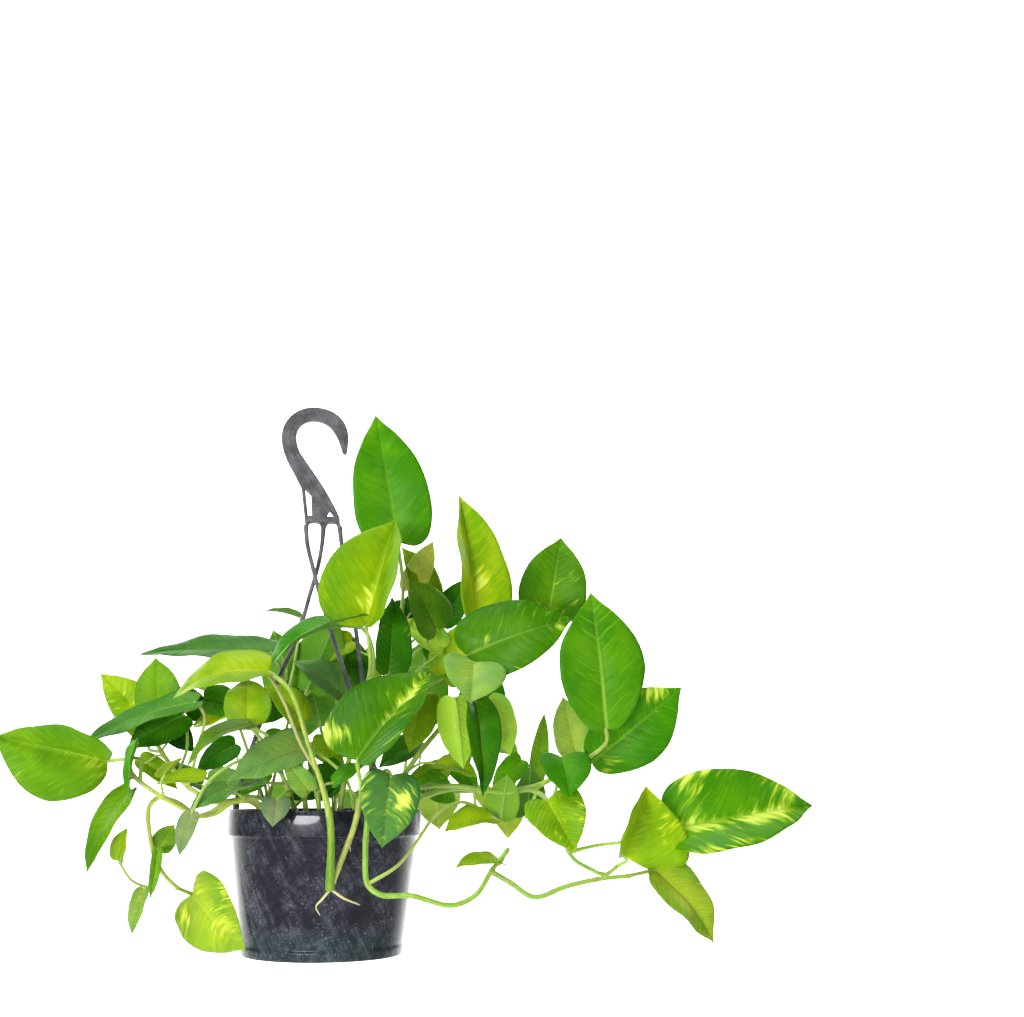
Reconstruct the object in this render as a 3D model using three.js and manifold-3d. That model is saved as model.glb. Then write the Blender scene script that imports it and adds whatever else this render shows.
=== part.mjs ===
// Potted pothos plant in a plastic hanging basket, as a three.js scene graph.
// Millimetres, +Z up. Everything is laid out from the middle of the pot's
// underside, and the whole plant is then lowered so that the origin is at the
// inside of the hook's crown, the point that it hangs from.
import * as THREE from "three";
import { mergeVertices } from "three/addons/utils/BufferGeometryUtils.js";
import Module from "manifold-3d";

const wasm = await Module();
wasm.setup();

// ---- driving dimensions, mm --------------------------------------------
const POT_H = 108; // pot, underside to rim top
const RIM_R = 74.5; // outside of the rim band
const RIM_LOW = 89; // lower edge of the rim band
const WALL = 1.8; // pot wall
const BASE_R = 61; // pot, outside at the foot
const FOOT_H = 7; // height of the foot band
const FLOOR = 3; // thickness of the pot's floor
const SOIL_TOP = 95; // mean level of the soil
const GAP = 0.3; // clearance between separate pieces
const BLADE = 1.0; // leaf thickness
const HOOK_T = 5.5; // thickness of the hook's web
const STRAND_R = 1.9; // hanger strand radius
const STEM_STEP = 18; // spacing of the rings along a stem
const STALK_STEP = 26; // spacing of the rings along a leaf stalk
const CROWN = { x: -16.8, z: 418.0 }; // inside of the hook's crown
const FOOT_Z = 336; // underside of the hook's foot

// ---- helpers -----------------------------------------------------------
const V = (x, y, z) => new THREE.Vector3(x, y, z);
const at = (p) => V(p[0], p[1], p[2]);
const clamp = (x, a, b) => Math.min(b, Math.max(a, x));

function solid(geometry) {
  const g = geometry.clone();
  g.deleteAttribute("normal");
  g.deleteAttribute("uv");
  const m = mergeVertices(g, 1e-4);
  return new wasm.Manifold(
    new wasm.Mesh({
      numProp: 3,
      vertProperties: new Float32Array(m.attributes.position.array),
      triVerts: new Uint32Array(m.index.array),
    }),
  );
}

function fromSolid(s) {
  const m = s.getMesh();
  const pos = new Float32Array(m.numVert * 3);
  for (let i = 0; i < m.numVert; i++)
    pos.set(m.vertProperties.subarray(i * m.numProp, i * m.numProp + 3), i * 3);
  const g = new THREE.BufferGeometry();
  g.setAttribute("position", new THREE.BufferAttribute(pos, 3));
  g.setIndex(new THREE.BufferAttribute(new Uint32Array(m.triVerts), 1));
  g.computeVertexNormals();
  return g;
}

// One body: the parts joined, without any sliver that the joining leaves.
function join(parts) {
  const bodies = parts.reduce((a, b) => a.add(b)).decompose();
  return bodies.sort((a, b) => b.volume() - a.volume())[0];
}

function ring(radius, sides) {
  const shape = new THREE.Shape();
  for (let i = 0; i < sides; i++) {
    const a = (i / sides) * Math.PI * 2;
    const x = radius * Math.cos(a);
    const y = radius * Math.sin(a);
    if (i) shape.lineTo(x, y);
    else shape.moveTo(x, y);
  }
  shape.closePath();
  return shape;
}

const smooth = (points) =>
  new THREE.CatmullRomCurve3(points.map(at), false, "centripetal");
const stepsOf = (curve, step) =>
  clamp(Math.round(curve.getLength() / step), 2, 40);

// The points at which a tube's rings sit.
function spine(points, step) {
  const curve = smooth(points);
  return curve.getSpacedPoints(stepsOf(curve, step));
}

// The place on a row of points that is nearest to p.
function nearest(row, p) {
  const best = V(0, 0, 0);
  const q = V(0, 0, 0);
  let least = Infinity;
  for (let i = 0; i + 1 < row.length; i++) {
    new THREE.Line3(row[i], row[i + 1]).closestPointToPoint(at(p), true, q);
    if (q.distanceTo(at(p)) < least) {
      least = q.distanceTo(at(p));
      best.copy(q);
    }
  }
  return best.toArray();
}

// A round tube through hand-set points.
function tube(points, radius, sides, step) {
  const curve = smooth(points);
  const steps = stepsOf(curve, step);
  return solid(
    new THREE.ExtrudeGeometry(ring(radius, sides), {
      steps,
      extrudePath: curve,
      bevelEnabled: false,
      curveSegments: 1,
    }),
  );
}

// ---- leaf --------------------------------------------------------------
// A heart-shaped blade. Rows run from the base to the tip: the place on the
// midrib, then where the margin lies along the axis and how far out it is, as
// shares of the length for a blade 0.75 as wide as it is long.
const HEART = [
  [0.03, -0.06, 0.17],
  [0.1, 0.0, 0.3],
  [0.23, 0.16, 0.37],
  [0.42, 0.39, 0.37],
  [0.63, 0.62, 0.305],
  [0.82, 0.82, 0.17],
];
const WIDEST = 0.42; // place along the midrib where a blade is widest

// base, tip: ends of the midrib. face: which way the upper side looks.
// wide: width over length. left, right: how far each half is folded up, in
// degrees. arch: rise of the midrib over the length. wave: margin wave.
// slim: 1 for an oval blade, without lobes beside its base.
function blade(base, tip, face, wide, left, right, arch, wave, slim, seed) {
  const rows = HEART.map(([m, e, w]) => {
    const low = Math.max(0, 1 - m / WIDEST);
    const high = Math.sin(Math.PI * Math.max(0, (m - WIDEST) / (1 - WIDEST)));
    return [m, e + slim * (m - e), w * (1 - slim * (0.7 * low - 0.15 * high))];
  });
  const B = at(base);
  const axis = at(tip).sub(B);
  const L = axis.length();
  const a = axis.clone().normalize();
  const n = at(face);
  n.addScaledVector(a, -n.dot(a)).normalize();
  const s = new THREE.Vector3().crossVectors(a, n);
  const scale = (wide / 0.75) * L;
  const mid = (r) =>
    B.clone()
      .addScaledVector(a, r * L)
      .addScaledVector(n, arch * L * 4 * r * (1 - r));
  const edge = (row, i, side) => {
    const fold = THREE.MathUtils.degToRad(side < 0 ? left : right);
    const w = row[2] * scale;
    const lift = arch * L * 4 * row[0] * (1 - row[0]);
    const ripple = wave * L * Math.sin(i * 2.1 + seed * 1.7 + side);
    return B.clone()
      .addScaledVector(a, row[1] * L)
      .addScaledVector(s, side * w * Math.cos(fold))
      .addScaledVector(n, lift + w * Math.sin(fold) + ripple);
  };
  // points of the middle surface: midrib, left margin, right margin
  const pts = [mid(0)];
  rows.forEach((row, i) =>
    pts.push(mid(row[0]), edge(row, i, -1), edge(row, i, 1)),
  );
  const T = pts.length;
  pts.push(mid(1));
  const M = (i) => 1 + 3 * i;
  const E = (i) => 2 + 3 * i;
  const R = (i) => 3 + 3 * i;
  const last = rows.length - 1;
  const tri = [
    [0, E(0), M(0)],
    [0, M(0), R(0)],
    [M(last), E(last), T],
    [M(last), T, R(last)],
  ];
  for (let i = 0; i < last; i++) {
    tri.push([M(i), E(i), E(i + 1)], [M(i), E(i + 1), M(i + 1)]);
    tri.push([M(i), R(i + 1), R(i)], [M(i), M(i + 1), R(i + 1)]);
  }
  // thicken along the mean normals, with the same triangles on both faces
  const normals = pts.map(() => V(0, 0, 0));
  for (const [i, j, k] of tri) {
    const f = pts[j].clone().sub(pts[i]).cross(pts[k].clone().sub(pts[i]));
    [i, j, k].forEach((q) => normals[q].add(f));
  }
  const up = normals.map((v) => v.normalize().multiplyScalar(BLADE / 2));
  if (up[T].dot(n) < 0) up.forEach((v) => v.negate());
  const N = pts.length;
  const pos = [];
  pts.forEach((p, i) => pos.push(...p.clone().add(up[i]).toArray()));
  pts.forEach((p, i) => pos.push(...p.clone().sub(up[i]).toArray()));
  const loop = [0];
  for (let i = 0; i <= last; i++) loop.push(R(i));
  loop.push(T);
  for (let i = last; i >= 0; i--) loop.push(E(i));
  const f0 = pts[tri[0][1]]
    .clone()
    .sub(pts[0])
    .cross(pts[tri[0][2]].clone().sub(pts[0]));
  const out = f0.dot(up[0]) > 0;
  const idx = [];
  const put = (i, j, k) => (out ? idx.push(i, j, k) : idx.push(i, k, j));
  for (const [i, j, k] of tri) {
    put(i, j, k);
    put(i + N, k + N, j + N);
  }
  loop.forEach((p, i) => {
    const q = loop[(i + 1) % loop.length];
    put(p, q, q + N);
    put(p, q + N, p + N);
  });
  const g = new THREE.BufferGeometry();
  g.setAttribute("position", new THREE.Float32BufferAttribute(pos, 3));
  g.setIndex(idx);
  const made = solid(g);
  if (made.volume() > 0) return made;
  for (let i = 0; i < idx.length; i += 3)
    [idx[i + 1], idx[i + 2]] = [idx[i + 2], idx[i + 1]];
  g.setIndex(idx);
  return solid(g);
}

// ---- the vines ---------------------------------------------------------
// Each vine: name, stems as [radius, points], and leaves as
// [base, tip, face, wide, left, right, arch, wave, stalk radius, stalk points, slim].
// A stalk runs through its points, the first on the stem, to the leaf's base.
const VINES = [
  ["vine_01", [
    [2.4, [[22, -48, 83], [22, -48, 99], [24, -64, 114], [24, -80, 112], [21, -87, 98], [13, -90, 76], [5, -92, 54]]],
    [1.0, [[5, -92, 54], [14, -95, 48], [26, -93, 43]]],
    [1.0, [[5, -92, 54], [-1, -94, 47], [-5, -92, 42], [-2, -93, 36]]],
  ], [
    [[-44, -85, 207], [-112, -74, 188], [0.1, -0.6, 0.8], 0.62, 12, 10, 0.14, 0.01, 3.0, [[5, -92, 53], [3, -102, 104], [-13, -101, 154], [-28, -94, 194]]],
    [[22, -86, 144], [77, -62, 211], [-0.3, -0.93, 0.2], 0.86, 4, 48, 0.05, 0.012, 1.8, [[24, -78, 113], [25, -90, 124]]],
    [[-14, -58, 154], [-70, -66, 129], [0.2, -0.7, 0.7], 0.62, 15, 10, 0.08, 0.015, 1.5, [[22, -50, 103], [14, -56, 132]]],
    [[46, -96, 133], [40, -109, 83], [0.15, -0.95, 0.15], 0.84, 10, 12, 0.06, 0.012, 1.5, [[24, -70, 114], [33, -82, 126], [43, -92, 137]]],
  ]],
  ["vine_02", [
    [2.2, [[36, -44, 83], [36, -44, 99], [34, -64, 114], [32, -79, 112], [30, -86, 99], [29, -90, 78], [31, -91, 57], [40, -93, 50], [62, -93, 49], [91, -92, 42], [109, -88, 49], [121, -84, 66], [134, -78, 81]]],
    [2.0, [[119, -85, 66], [134, -87, 57], [151, -89, 47], [174, -88, 54], [199, -85, 59], [226, -80, 61]]],
    [1.9, [[36, -44, 99], [48, -42, 114], [68, -47, 124], [94, -56, 126], [130, -58, 121], [157, -50, 122], [169, -54, 111], [176, -59, 90], [184, -62, 73], [197, -63, 65], [208, -63, 61], [218, -62, 67]]],
  ], [
    [[131, -50, 101], [134, -68, 134], [0, 0.85, 0.5], 0.72, 10, 10, 0.04, 0.01, 1.4, [[31, -91, 57], [52, -93, 70], [64, -90, 84], [80, -82, 105], [100, -70, 114]]],
    [[122, -68, 100], [86, -84, 93], [0, -0.5, 0.86], 0.78, 20, 16, 0.1, 0.02, 1.3, [[104, -69, 99], [114, -66, 101]]],
    [[127, -80, 70], [93, -96, 68], [0, -0.4, 0.9], 0.6, 10, 10, 0.12, 0.01, 1.4, [[134, -78, 77]]],
    [[166, -56, 115], [182, -85, 78], [-0.25, -0.7, 0.7], 0.95, 18, 22, 0.05, 0.02, 1.5, [[158, -50, 121], [162, -52, 120]]],
    [[177, -56, 147], [179, -78, 117], [0.05, -0.9, 0.5], 1.1, 16, 16, 0.1, 0.01, 1.6, [[167, -55, 109], [174, -50, 126]]],
    [[220, -74, 75], [238, -74, 126], [0, -0.98, 0.1], 1.7, 74, 0, 0.04, 0.01, 1.5, [[218, -62, 67], [224, -66, 71]]],
    [[262, -60, 93], [371, -62, 111], [0.05, -0.95, 0.3], 0.7, 8, 42, 0.06, 0.008, 1.6, [[181, -61, 77], [202, -62, 82], [226, -63, 85]]],
    [[243, -76, 64], [286, -78, 12], [0.35, -0.8, 0.5], 0.62, 14, 12, 0.1, 0.02, 1.7, [[222, -81, 61]]],
  ]],
  ["vine_03", [
    [2.3, [[56, -14, 83], [56, -14, 99], [70, -22, 115], [98, -34, 124], [128, -40, 122], [160, -44, 126], [188, -40, 141], [200, -32, 145]]],
  ], [
    [[206, -24, 144], [275, -42, 202], [-0.15, -0.95, -0.1], 0.65, 14, 4, 0.05, 0.01, 1.7, [[197, -34, 144]], 0.6],
    [[213, -48, 169], [201, -54, 274], [0.05, -1, 0.1], 0.66, 8, 8, 0.05, 0.01, 1.8, [[186, -41, 140], [202, -48, 149], [213, -50, 159]], 0.62],
    [[217, 22, 150], [206, 60, 186], [0, -0.7, 0.7], 0.66, 10, 10, 0.05, 0.01, 1.4, [[193, -38, 142], [200, -26, 154], [209, 2, 156]]],
    [[157, -6, 104], [162, 8, 142], [0.3, 0.9, 0.2], 0.7, 14, 14, 0.06, 0.01, 1.4, [[160, -44, 126], [158, -30, 112], [155, -14, 102]]],
  ]],
  ["vine_04", [
    [2.2, [[40, -16, 83], [40, -16, 99], [52, -20, 122], [72, -26, 152], [92, -30, 176], [105, -33, 191], [112, -30, 210], [116, -18, 230]]],
  ], [
    [[110, -56, 218], [104, -86, 186], [0.05, -1, 0.15], 1.12, 12, 12, 0.04, 0.01, 1.5, [[104, -33, 190], [110, -46, 210]]],
    [[94, -72, 190], [100, -80, 138], [-0.1, 1, 0.1], 0.56, 10, 10, 0.05, 0.01, 1.4, [[104, -33, 190], [98, -52, 186], [94, -64, 190]]],
    [[110, -66, 188], [114, -84, 118], [0.4, -0.9, -0.1], 0.43, 24, 24, 0.05, 0.02, 1.4, [[104, -33, 190], [109, -50, 184], [110, -60, 187]]],
    [[122, -40, 192], [138, -52, 148], [0.35, -0.85, 0.4], 0.58, 14, 8, 0.1, 0.015, 1.4, [[106, -33, 193], [112, -36, 199]]],
    [[106, -38, 225], [187, -54, 253], [0.05, -0.92, 0.35], 0.7, 10, 8, 0.07, 0.015, 1.6, [[108, -32, 198], [104, -38, 212]]],
    [[117, 8, 253], [102, 0, 360], [0.2, -0.98, 0], 0.58, 55, 5, 0.08, 0.02, 1.7, [[116, -18, 230], [118, -2, 244]]],
    [[184, 50, 268], [194, 44, 334], [-0.1, -1, 0.1], 0.87, 12, 12, 0.05, 0.01, 1.6, [[115, -20, 227], [138, 14, 240], [168, 40, 253]]],
    [[84, -44, 142], [113, -60, 132], [0, -0.6, 0.8], 0.6, 14, 14, 0.08, 0.02, 1.1, [[60, -22, 136], [72, -34, 143]]],
  ]],
  ["vine_05", [
    [2.2, [[10, -24, 83], [10, -24, 99], [14, -28, 130], [20, -32, 160], [26, -36, 190]]],
  ], [
    [[24, -44, 245], [-47, -72, 206], [-0.3, -0.35, 0.9], 0.52, 22, 14, 0.16, 0.01, 1.5, [[26, -36, 189], [34, -40, 214], [31, -42, 236]]],
    [[27, -60, 245], [49, -44, 330], [0.05, -1, 0.15], 0.95, 4, 75, 0.04, 0.01, 1.6, [[26, -36, 190], [31, -52, 214], [29, -60, 234]]],
    [[46, -30, 212], [48, -22, 272], [0.4, -0.9, 0.2], 0.55, 20, 20, 0.04, 0.01, 1.4, [[24, -34, 176], [38, -32, 190]]],
    [[12, -34, 192], [-28, -28, 220], [0.1, -0.6, 0.8], 0.72, 14, 14, 0.08, 0.01, 1.4, [[19, -31, 155], [16, -34, 176]]],
    [[70, -48, 195], [61, -60, 150], [0.3, -0.9, 0.2], 0.66, 12, 12, 0.06, 0.015, 1.3, [[24, -35, 178], [46, -44, 190], [62, -46, 198]]],
  ]],
  ["vine_06", [
    [2.2, [[26, 12, 83], [26, 12, 99], [36, 16, 140], [50, 16, 200], [57, 12, 250]]],
  ], [
    [[53, 5, 321], [33, 0, 425], [0.05, -1, 0.05], 0.6, 12, 12, 0.04, 0.008, 1.8, [[57, 12, 249], [58, 9, 284]]],
    [[86, 10, 250], [62, -4, 288], [0, -0.8, 0.6], 0.85, 10, 10, 0.06, 0.01, 1.4, [[52, 15, 210], [70, 16, 232]]],
    [[64, 34, 285], [84, 34, 327], [0.2, -0.95, 0], 0.5, 10, 10, 0.03, 0.01, 1.3, [[55, 14, 235], [70, 28, 246]]],
    [[94, 30, 214], [134, 26, 262], [-0.2, -0.9, 0.3], 0.7, 12, 12, 0.05, 0.01, 1.4, [[45, 16, 180], [72, 26, 200]]],
    [[92, 22, 236], [54, 22, 258], [0.1, -0.75, 0.65], 0.75, 12, 12, 0.06, 0.01, 1.3, [[50, 16, 198], [74, 28, 220]]],
  ]],
  ["vine_07", [
    [2.2, [[-14, -4, 83], [-14, -4, 99], [-22, 2, 150], [-34, 8, 205]]],
  ], [
    [[-45, 8, 229], [-150, 18, 228], [0, -0.42, 0.9], 0.52, 8, 8, 0.03, 0.008, 1.7, [[-34, 8, 202], [-38, 9, 219]]],
    [[-60, -32, 172], [-64, 10, 209], [0, -0.62, 0.78], 0.64, 8, 8, 0.06, 0.01, 1.5, [[-20, 0, 138], [-40, -22, 152]]],
    [[-24, 36, 262], [-52, 38, 267], [0.3, 0, 1], 0.6, 20, 20, 0.05, 0.01, 1.4, [[-32, 8, 196], [-28, 24, 220]]],
    [[-16, 24, 204], [6, 34, 264], [0, 0.9, 0.3], 0.66, 8, 8, 0.05, 0.01, 1.4, [[-26, 4, 172], [-20, 16, 192]]],
  ]],
  ["vine_08", [
    [2.0, [[-42, -30, 83], [-42, -30, 99], [-52, -36, 113], [-68, -45, 114], [-80, -48, 106], [-93, -46, 104], [-106, -43, 110], [-129, -49, 124], [-141, -50, 134], [-145, -47, 144]]],
  ], [
    [[-161, -40, 144], [-241, -58, 161], [0, -0.97, 0.2], 0.92, 2, 75, 0.05, 0.012, 1.6, [[-128, -45, 139], [-137, -47, 145], [-150, -43, 145]], 0.5],
    [[-143, -44, 122], [-169, -56, 64], [-0.5, -0.8, 0.3], 0.37, 10, 10, 0.12, 0.01, 1.4, [[-140, -50, 133], [-146, -46, 128]]],
    [[-138, -56, 157], [-141, -62, 118], [-0.9, -0.4, 0], 0.5, 20, 20, 0.06, 0.01, 1.2, [[-144, -48, 143], [-141, -52, 152]]],
    [[-118, -56, 133], [-104, -72, 146], [0.3, -0.5, 0.8], 0.8, 10, 10, 0.05, 0.01, 1.2, [[-118, -46, 117], [-120, -52, 127]]],
    [[-72, -54, 123], [-98, -62, 109], [0, -0.75, 0.6], 0.6, 10, 10, 0.08, 0.015, 1.1, [[-60, -40, 114], [-66, -49, 121]]],
  ]],
  ["vine_09", [
    [2.1, [[-40, 2, 83], [-40, 2, 99], [-52, -8, 113], [-68, -17, 115], [-82, -21, 114], [-92, -20, 118], [-106, -15, 127], [-126, -8, 152], [-138, -2, 172]]],
  ], [
    [[-129, 0, 182], [-134, -3, 224], [-0.1, -0.92, 0.35], 0.85, 8, 8, 0.05, 0.01, 1.5, [[-138, -2, 171]]],
    [[-130, 24, 168], [-179, 20, 213], [0, -1, 0.1], 0.55, 8, 8, 0.05, 0.01, 1.5, [[-126, -8, 151], [-138, 12, 155]]],
    [[-100, -26, 188], [-185, -26, 154], [-0.15, -0.55, 0.8], 0.35, 8, 8, 0.06, 0.01, 1.5, [[-104, -16, 125], [-97, -22, 156], [-93, -25, 178]]],
    [[-111, 0, 180], [-151, -12, 154], [0, -0.9, 0.35], 0.64, 6, 6, 0.06, 0.01, 1.4, [[-112, -12, 134], [-107, -4, 156]]],
    [[-90, -34, 132], [-125, -40, 127], [0, -0.6, 0.8], 0.5, 10, 10, 0.08, 0.015, 1.1, [[-84, -21, 115], [-85, -28, 127]]],
  ]],
  ["vine_10", [
    [2.0, [[-42, -15, 83], [-42, -15, 99], [-56, -24, 114], [-74, -31, 114], [-84, -32, 107], [-96, -28, 104], [-109, -29, 113], [-124, -30, 117], [-131, -26, 110], [-130, -21, 89], [-126, -20, 74], [-120, -16, 62], [-109, -4, 49]]],
    [1.7, [[-126, -22, 75], [-128, -20, 62], [-129, -18, 50]]],
  ], [
    [[-100, 12, 44], [-56, -34, 7], [0.45, -0.75, -0.45], 0.7, 8, 8, 0.04, 0.012, 1.6, [[-110, -5, 50]]],
    [[-150, -34, 72], [-143, -48, 96], [-0.5, -0.8, 0.1], 0.6, 20, 20, 0.05, 0.01, 1.1, [[-129, -18, 51], [-141, -26, 57]]],
    [[-132, -20, 50], [-139, -26, 18], [-0.5, -0.8, -0.1], 0.46, 20, 20, 0.05, 0.01, 1.3, [[-129, -18, 52]]],
    [[-124, -14, 79], [-114, -8, 97], [0.2, -0.95, 0.1], 0.85, 10, 10, 0.05, 0.01, 1.2, [[-127, -22, 78]]],
    [[-123, -32, 80], [-126, -38, 44], [0.3, -0.9, 0], 0.25, 20, 20, 0.05, 0.01, 1.2, [[-127, -22, 78]]],
  ]],
  ["vine_11", [
    [2.1, [[-20, -38, 83], [-20, -38, 99], [-28, -42, 122], [-38, -44, 146]]],
  ], [
    [[-56, -46, 168], [-101, -64, 139], [-0.5, -0.55, 0.65], 0.42, 14, 14, 0.18, 0.01, 1.5, [[-38, -44, 145], [-44, -45, 162]]],
    [[-96, -66, 106], [-102, -82, 77], [-0.2, -0.9, 0.4], 0.45, 10, 10, 0.06, 0.01, 1.5, [[-34, -43, 136], [-56, -54, 146], [-84, -63, 130]]],
    [[-35, -66, 116], [-37, -88, 97], [0, -0.55, 0.85], 0.75, 8, 8, 0.06, 0.01, 1.3, [[-26, -41, 116], [-26, -54, 123]]],
    [[-46, -60, 128], [-72, -74, 118], [-0.2, -0.3, 0.9], 0.55, 8, 8, 0.06, 0.01, 1.3, [[-30, -43, 128]]],
    [[-12, -56, 122], [-32, -66, 146], [-0.4, -0.8, 0.5], 0.55, 12, 12, 0.06, 0.02, 1.1, [[-23, -40, 110], [-16, -50, 117]]],
  ]],
  ["vine_12", [
    [2.2, [[38, 30, 83], [38, 30, 99], [58, 46, 115], [88, 60, 120], [126, 64, 122], [156, 62, 124]]],
  ], [
    [[174, 62, 130], [181, 58, 187], [0, -0.95, 0.2], 0.27, 12, 12, 0.05, 0.01, 1.5, [[155, 62, 124]]],
    [[112, 92, 166], [168, 118, 150], [0.3, 0.4, 0.85], 0.75, 10, 10, 0.08, 0.01, 1.6, [[90, 60, 120], [102, 80, 150]]],
    [[70, 84, 184], [88, 112, 256], [0.1, 0.9, 0.3], 0.72, 10, 10, 0.06, 0.01, 1.6, [[60, 47, 116], [66, 70, 148]]],
    [[140, 96, 122], [160, 136, 80], [0.4, 0.6, 0.6], 0.75, 10, 10, 0.08, 0.01, 1.5, [[124, 64, 122], [134, 84, 128]]],
    [[92, 96, 118], [100, 144, 88], [0, 0.6, 0.8], 0.75, 10, 10, 0.08, 0.01, 1.5, [[90, 60, 120], [92, 80, 124]]],
    [[128, 72, 172], [130, 64, 236], [0, -0.95, 0.2], 0.66, 10, 10, 0.05, 0.01, 1.5, [[108, 63, 122], [120, 70, 150]]],
  ]],
  ["vine_13", [
    [2.2, [[6, 40, 83], [6, 40, 99], [8, 60, 114], [8, 80, 113], [4, 90, 96], [2, 93, 64], [4, 92, 38]]],
  ], [
    [[-6, 92, 176], [-22, 116, 240], [0, 0.9, 0.35], 0.75, 10, 10, 0.06, 0.01, 1.6, [[8, 60, 113], [0, 82, 148]]],
    [[24, 116, 120], [40, 154, 80], [0.2, 0.7, 0.7], 0.75, 10, 10, 0.08, 0.01, 1.5, [[8, 80, 112], [16, 100, 122]]],
    [[-24, 110, 66], [-42, 116, 16], [-0.2, 0.95, 0.2], 0.8, 10, 10, 0.06, 0.01, 1.5, [[2, 93, 66], [-12, 106, 72]]],
    [[12, 104, 44], [26, 110, 4], [0.2, 0.95, 0.2], 0.8, 10, 10, 0.06, 0.01, 1.4, [[4, 92, 40]]],
    [[24, 88, 190], [34, 114, 246], [0.1, 0.85, 0.5], 0.66, 10, 10, 0.06, 0.01, 1.5, [[8, 62, 114], [20, 78, 158]]],
    [[-22, 104, 124], [-50, 134, 96], [-0.2, 0.6, 0.8], 0.75, 10, 10, 0.08, 0.01, 1.4, [[8, 78, 113], [-6, 94, 124]]],
  ]],
  ["vine_14", [
    [2.2, [[-30, 28, 83], [-30, 28, 99], [-46, 44, 114], [-64, 58, 118], [-84, 66, 122]]],
  ], [
    [[-60, 70, 178], [-108, 84, 206], [-0.2, 0.4, 0.9], 0.7, 10, 10, 0.08, 0.01, 1.6, [[-46, 44, 113], [-54, 60, 148]]],
    [[-74, 92, 138], [-90, 136, 116], [-0.2, 0.5, 0.85], 0.75, 10, 10, 0.08, 0.01, 1.5, [[-64, 58, 117], [-70, 76, 136]]],
    [[-102, 64, 126], [-134, 58, 142], [0, -0.5, 0.85], 0.7, 10, 10, 0.08, 0.01, 1.4, [[-83, 66, 122]]],
    [[-78, 40, 188], [-108, 48, 172], [0, -0.7, 0.7], 0.8, 10, 10, 0.08, 0.01, 1.5, [[-50, 48, 115], [-62, 44, 150]]],
    [[-28, 66, 200], [-48, 82, 256], [-0.1, 0.9, 0.35], 0.72, 10, 10, 0.05, 0.01, 1.5, [[-46, 44, 113], [-36, 56, 160]]],
  ]],
  ["vine_15", [
    [2.1, [[-4, -48, 83], [-4, -48, 99], [-6, -50, 118], [-12, -46, 140], [-14, -40, 158]]],
  ], [
    [[-18, -38, 174], [-48, -50, 200], [0.1, -0.8, 0.6], 0.72, 12, 12, 0.07, 0.015, 1.3, [[-14, -40, 156]]],
    [[6, -62, 128], [29, -72, 141], [0, -0.7, 0.7], 0.6, 12, 12, 0.06, 0.02, 1.1, [[-6, -50, 120], [0, -57, 127]]],
  ]],
];

// ---- pot ---------------------------------------------------------------
const pot = (() => {
  const inner = BASE_R - WALL;
  const top = RIM_R - 3.2; // outside of the wall under the rim
  const profile = [
    [0, 0], [BASE_R - 1, 0], [BASE_R, 1], [BASE_R + 1, FOOT_H],
    [BASE_R + 0.2, FOOT_H + 0.8], [top, RIM_LOW - 1],
    [RIM_R - 0.6, RIM_LOW - 0.4], [RIM_R, RIM_LOW + 0.8], [RIM_R, POT_H - 1.2],
    [RIM_R - 1.2, POT_H], [RIM_R - 3.6, POT_H],
    [top - WALL, RIM_LOW], [inner, FLOOR + 1.5], [inner - 1.5, FLOOR], [0, FLOOR],
  ].map(([x, y]) => new THREE.Vector2(x, y));
  const g = new THREE.LatheGeometry(profile, 32);
  g.rotateX(Math.PI / 2);
  let s = solid(g);
  if (s.volume() < 0) {
    const i = g.index.array;
    for (let k = 0; k < i.length; k += 3) [i[k + 1], i[k + 2]] = [i[k + 2], i[k + 1]];
    s = solid(g);
  }
  const hole = (x, y) => {
    const c = new THREE.CylinderGeometry(4.5, 4.5, 12, 10);
    c.rotateX(Math.PI / 2).translate(x, y, 1);
    return solid(c);
  };
  for (let k = 0; k < 6; k++) {
    const a = (k / 6) * 2 * Math.PI + 0.4;
    s = s.subtract(hole(38 * Math.cos(a), 38 * Math.sin(a)));
  }
  return s;
})();

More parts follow.
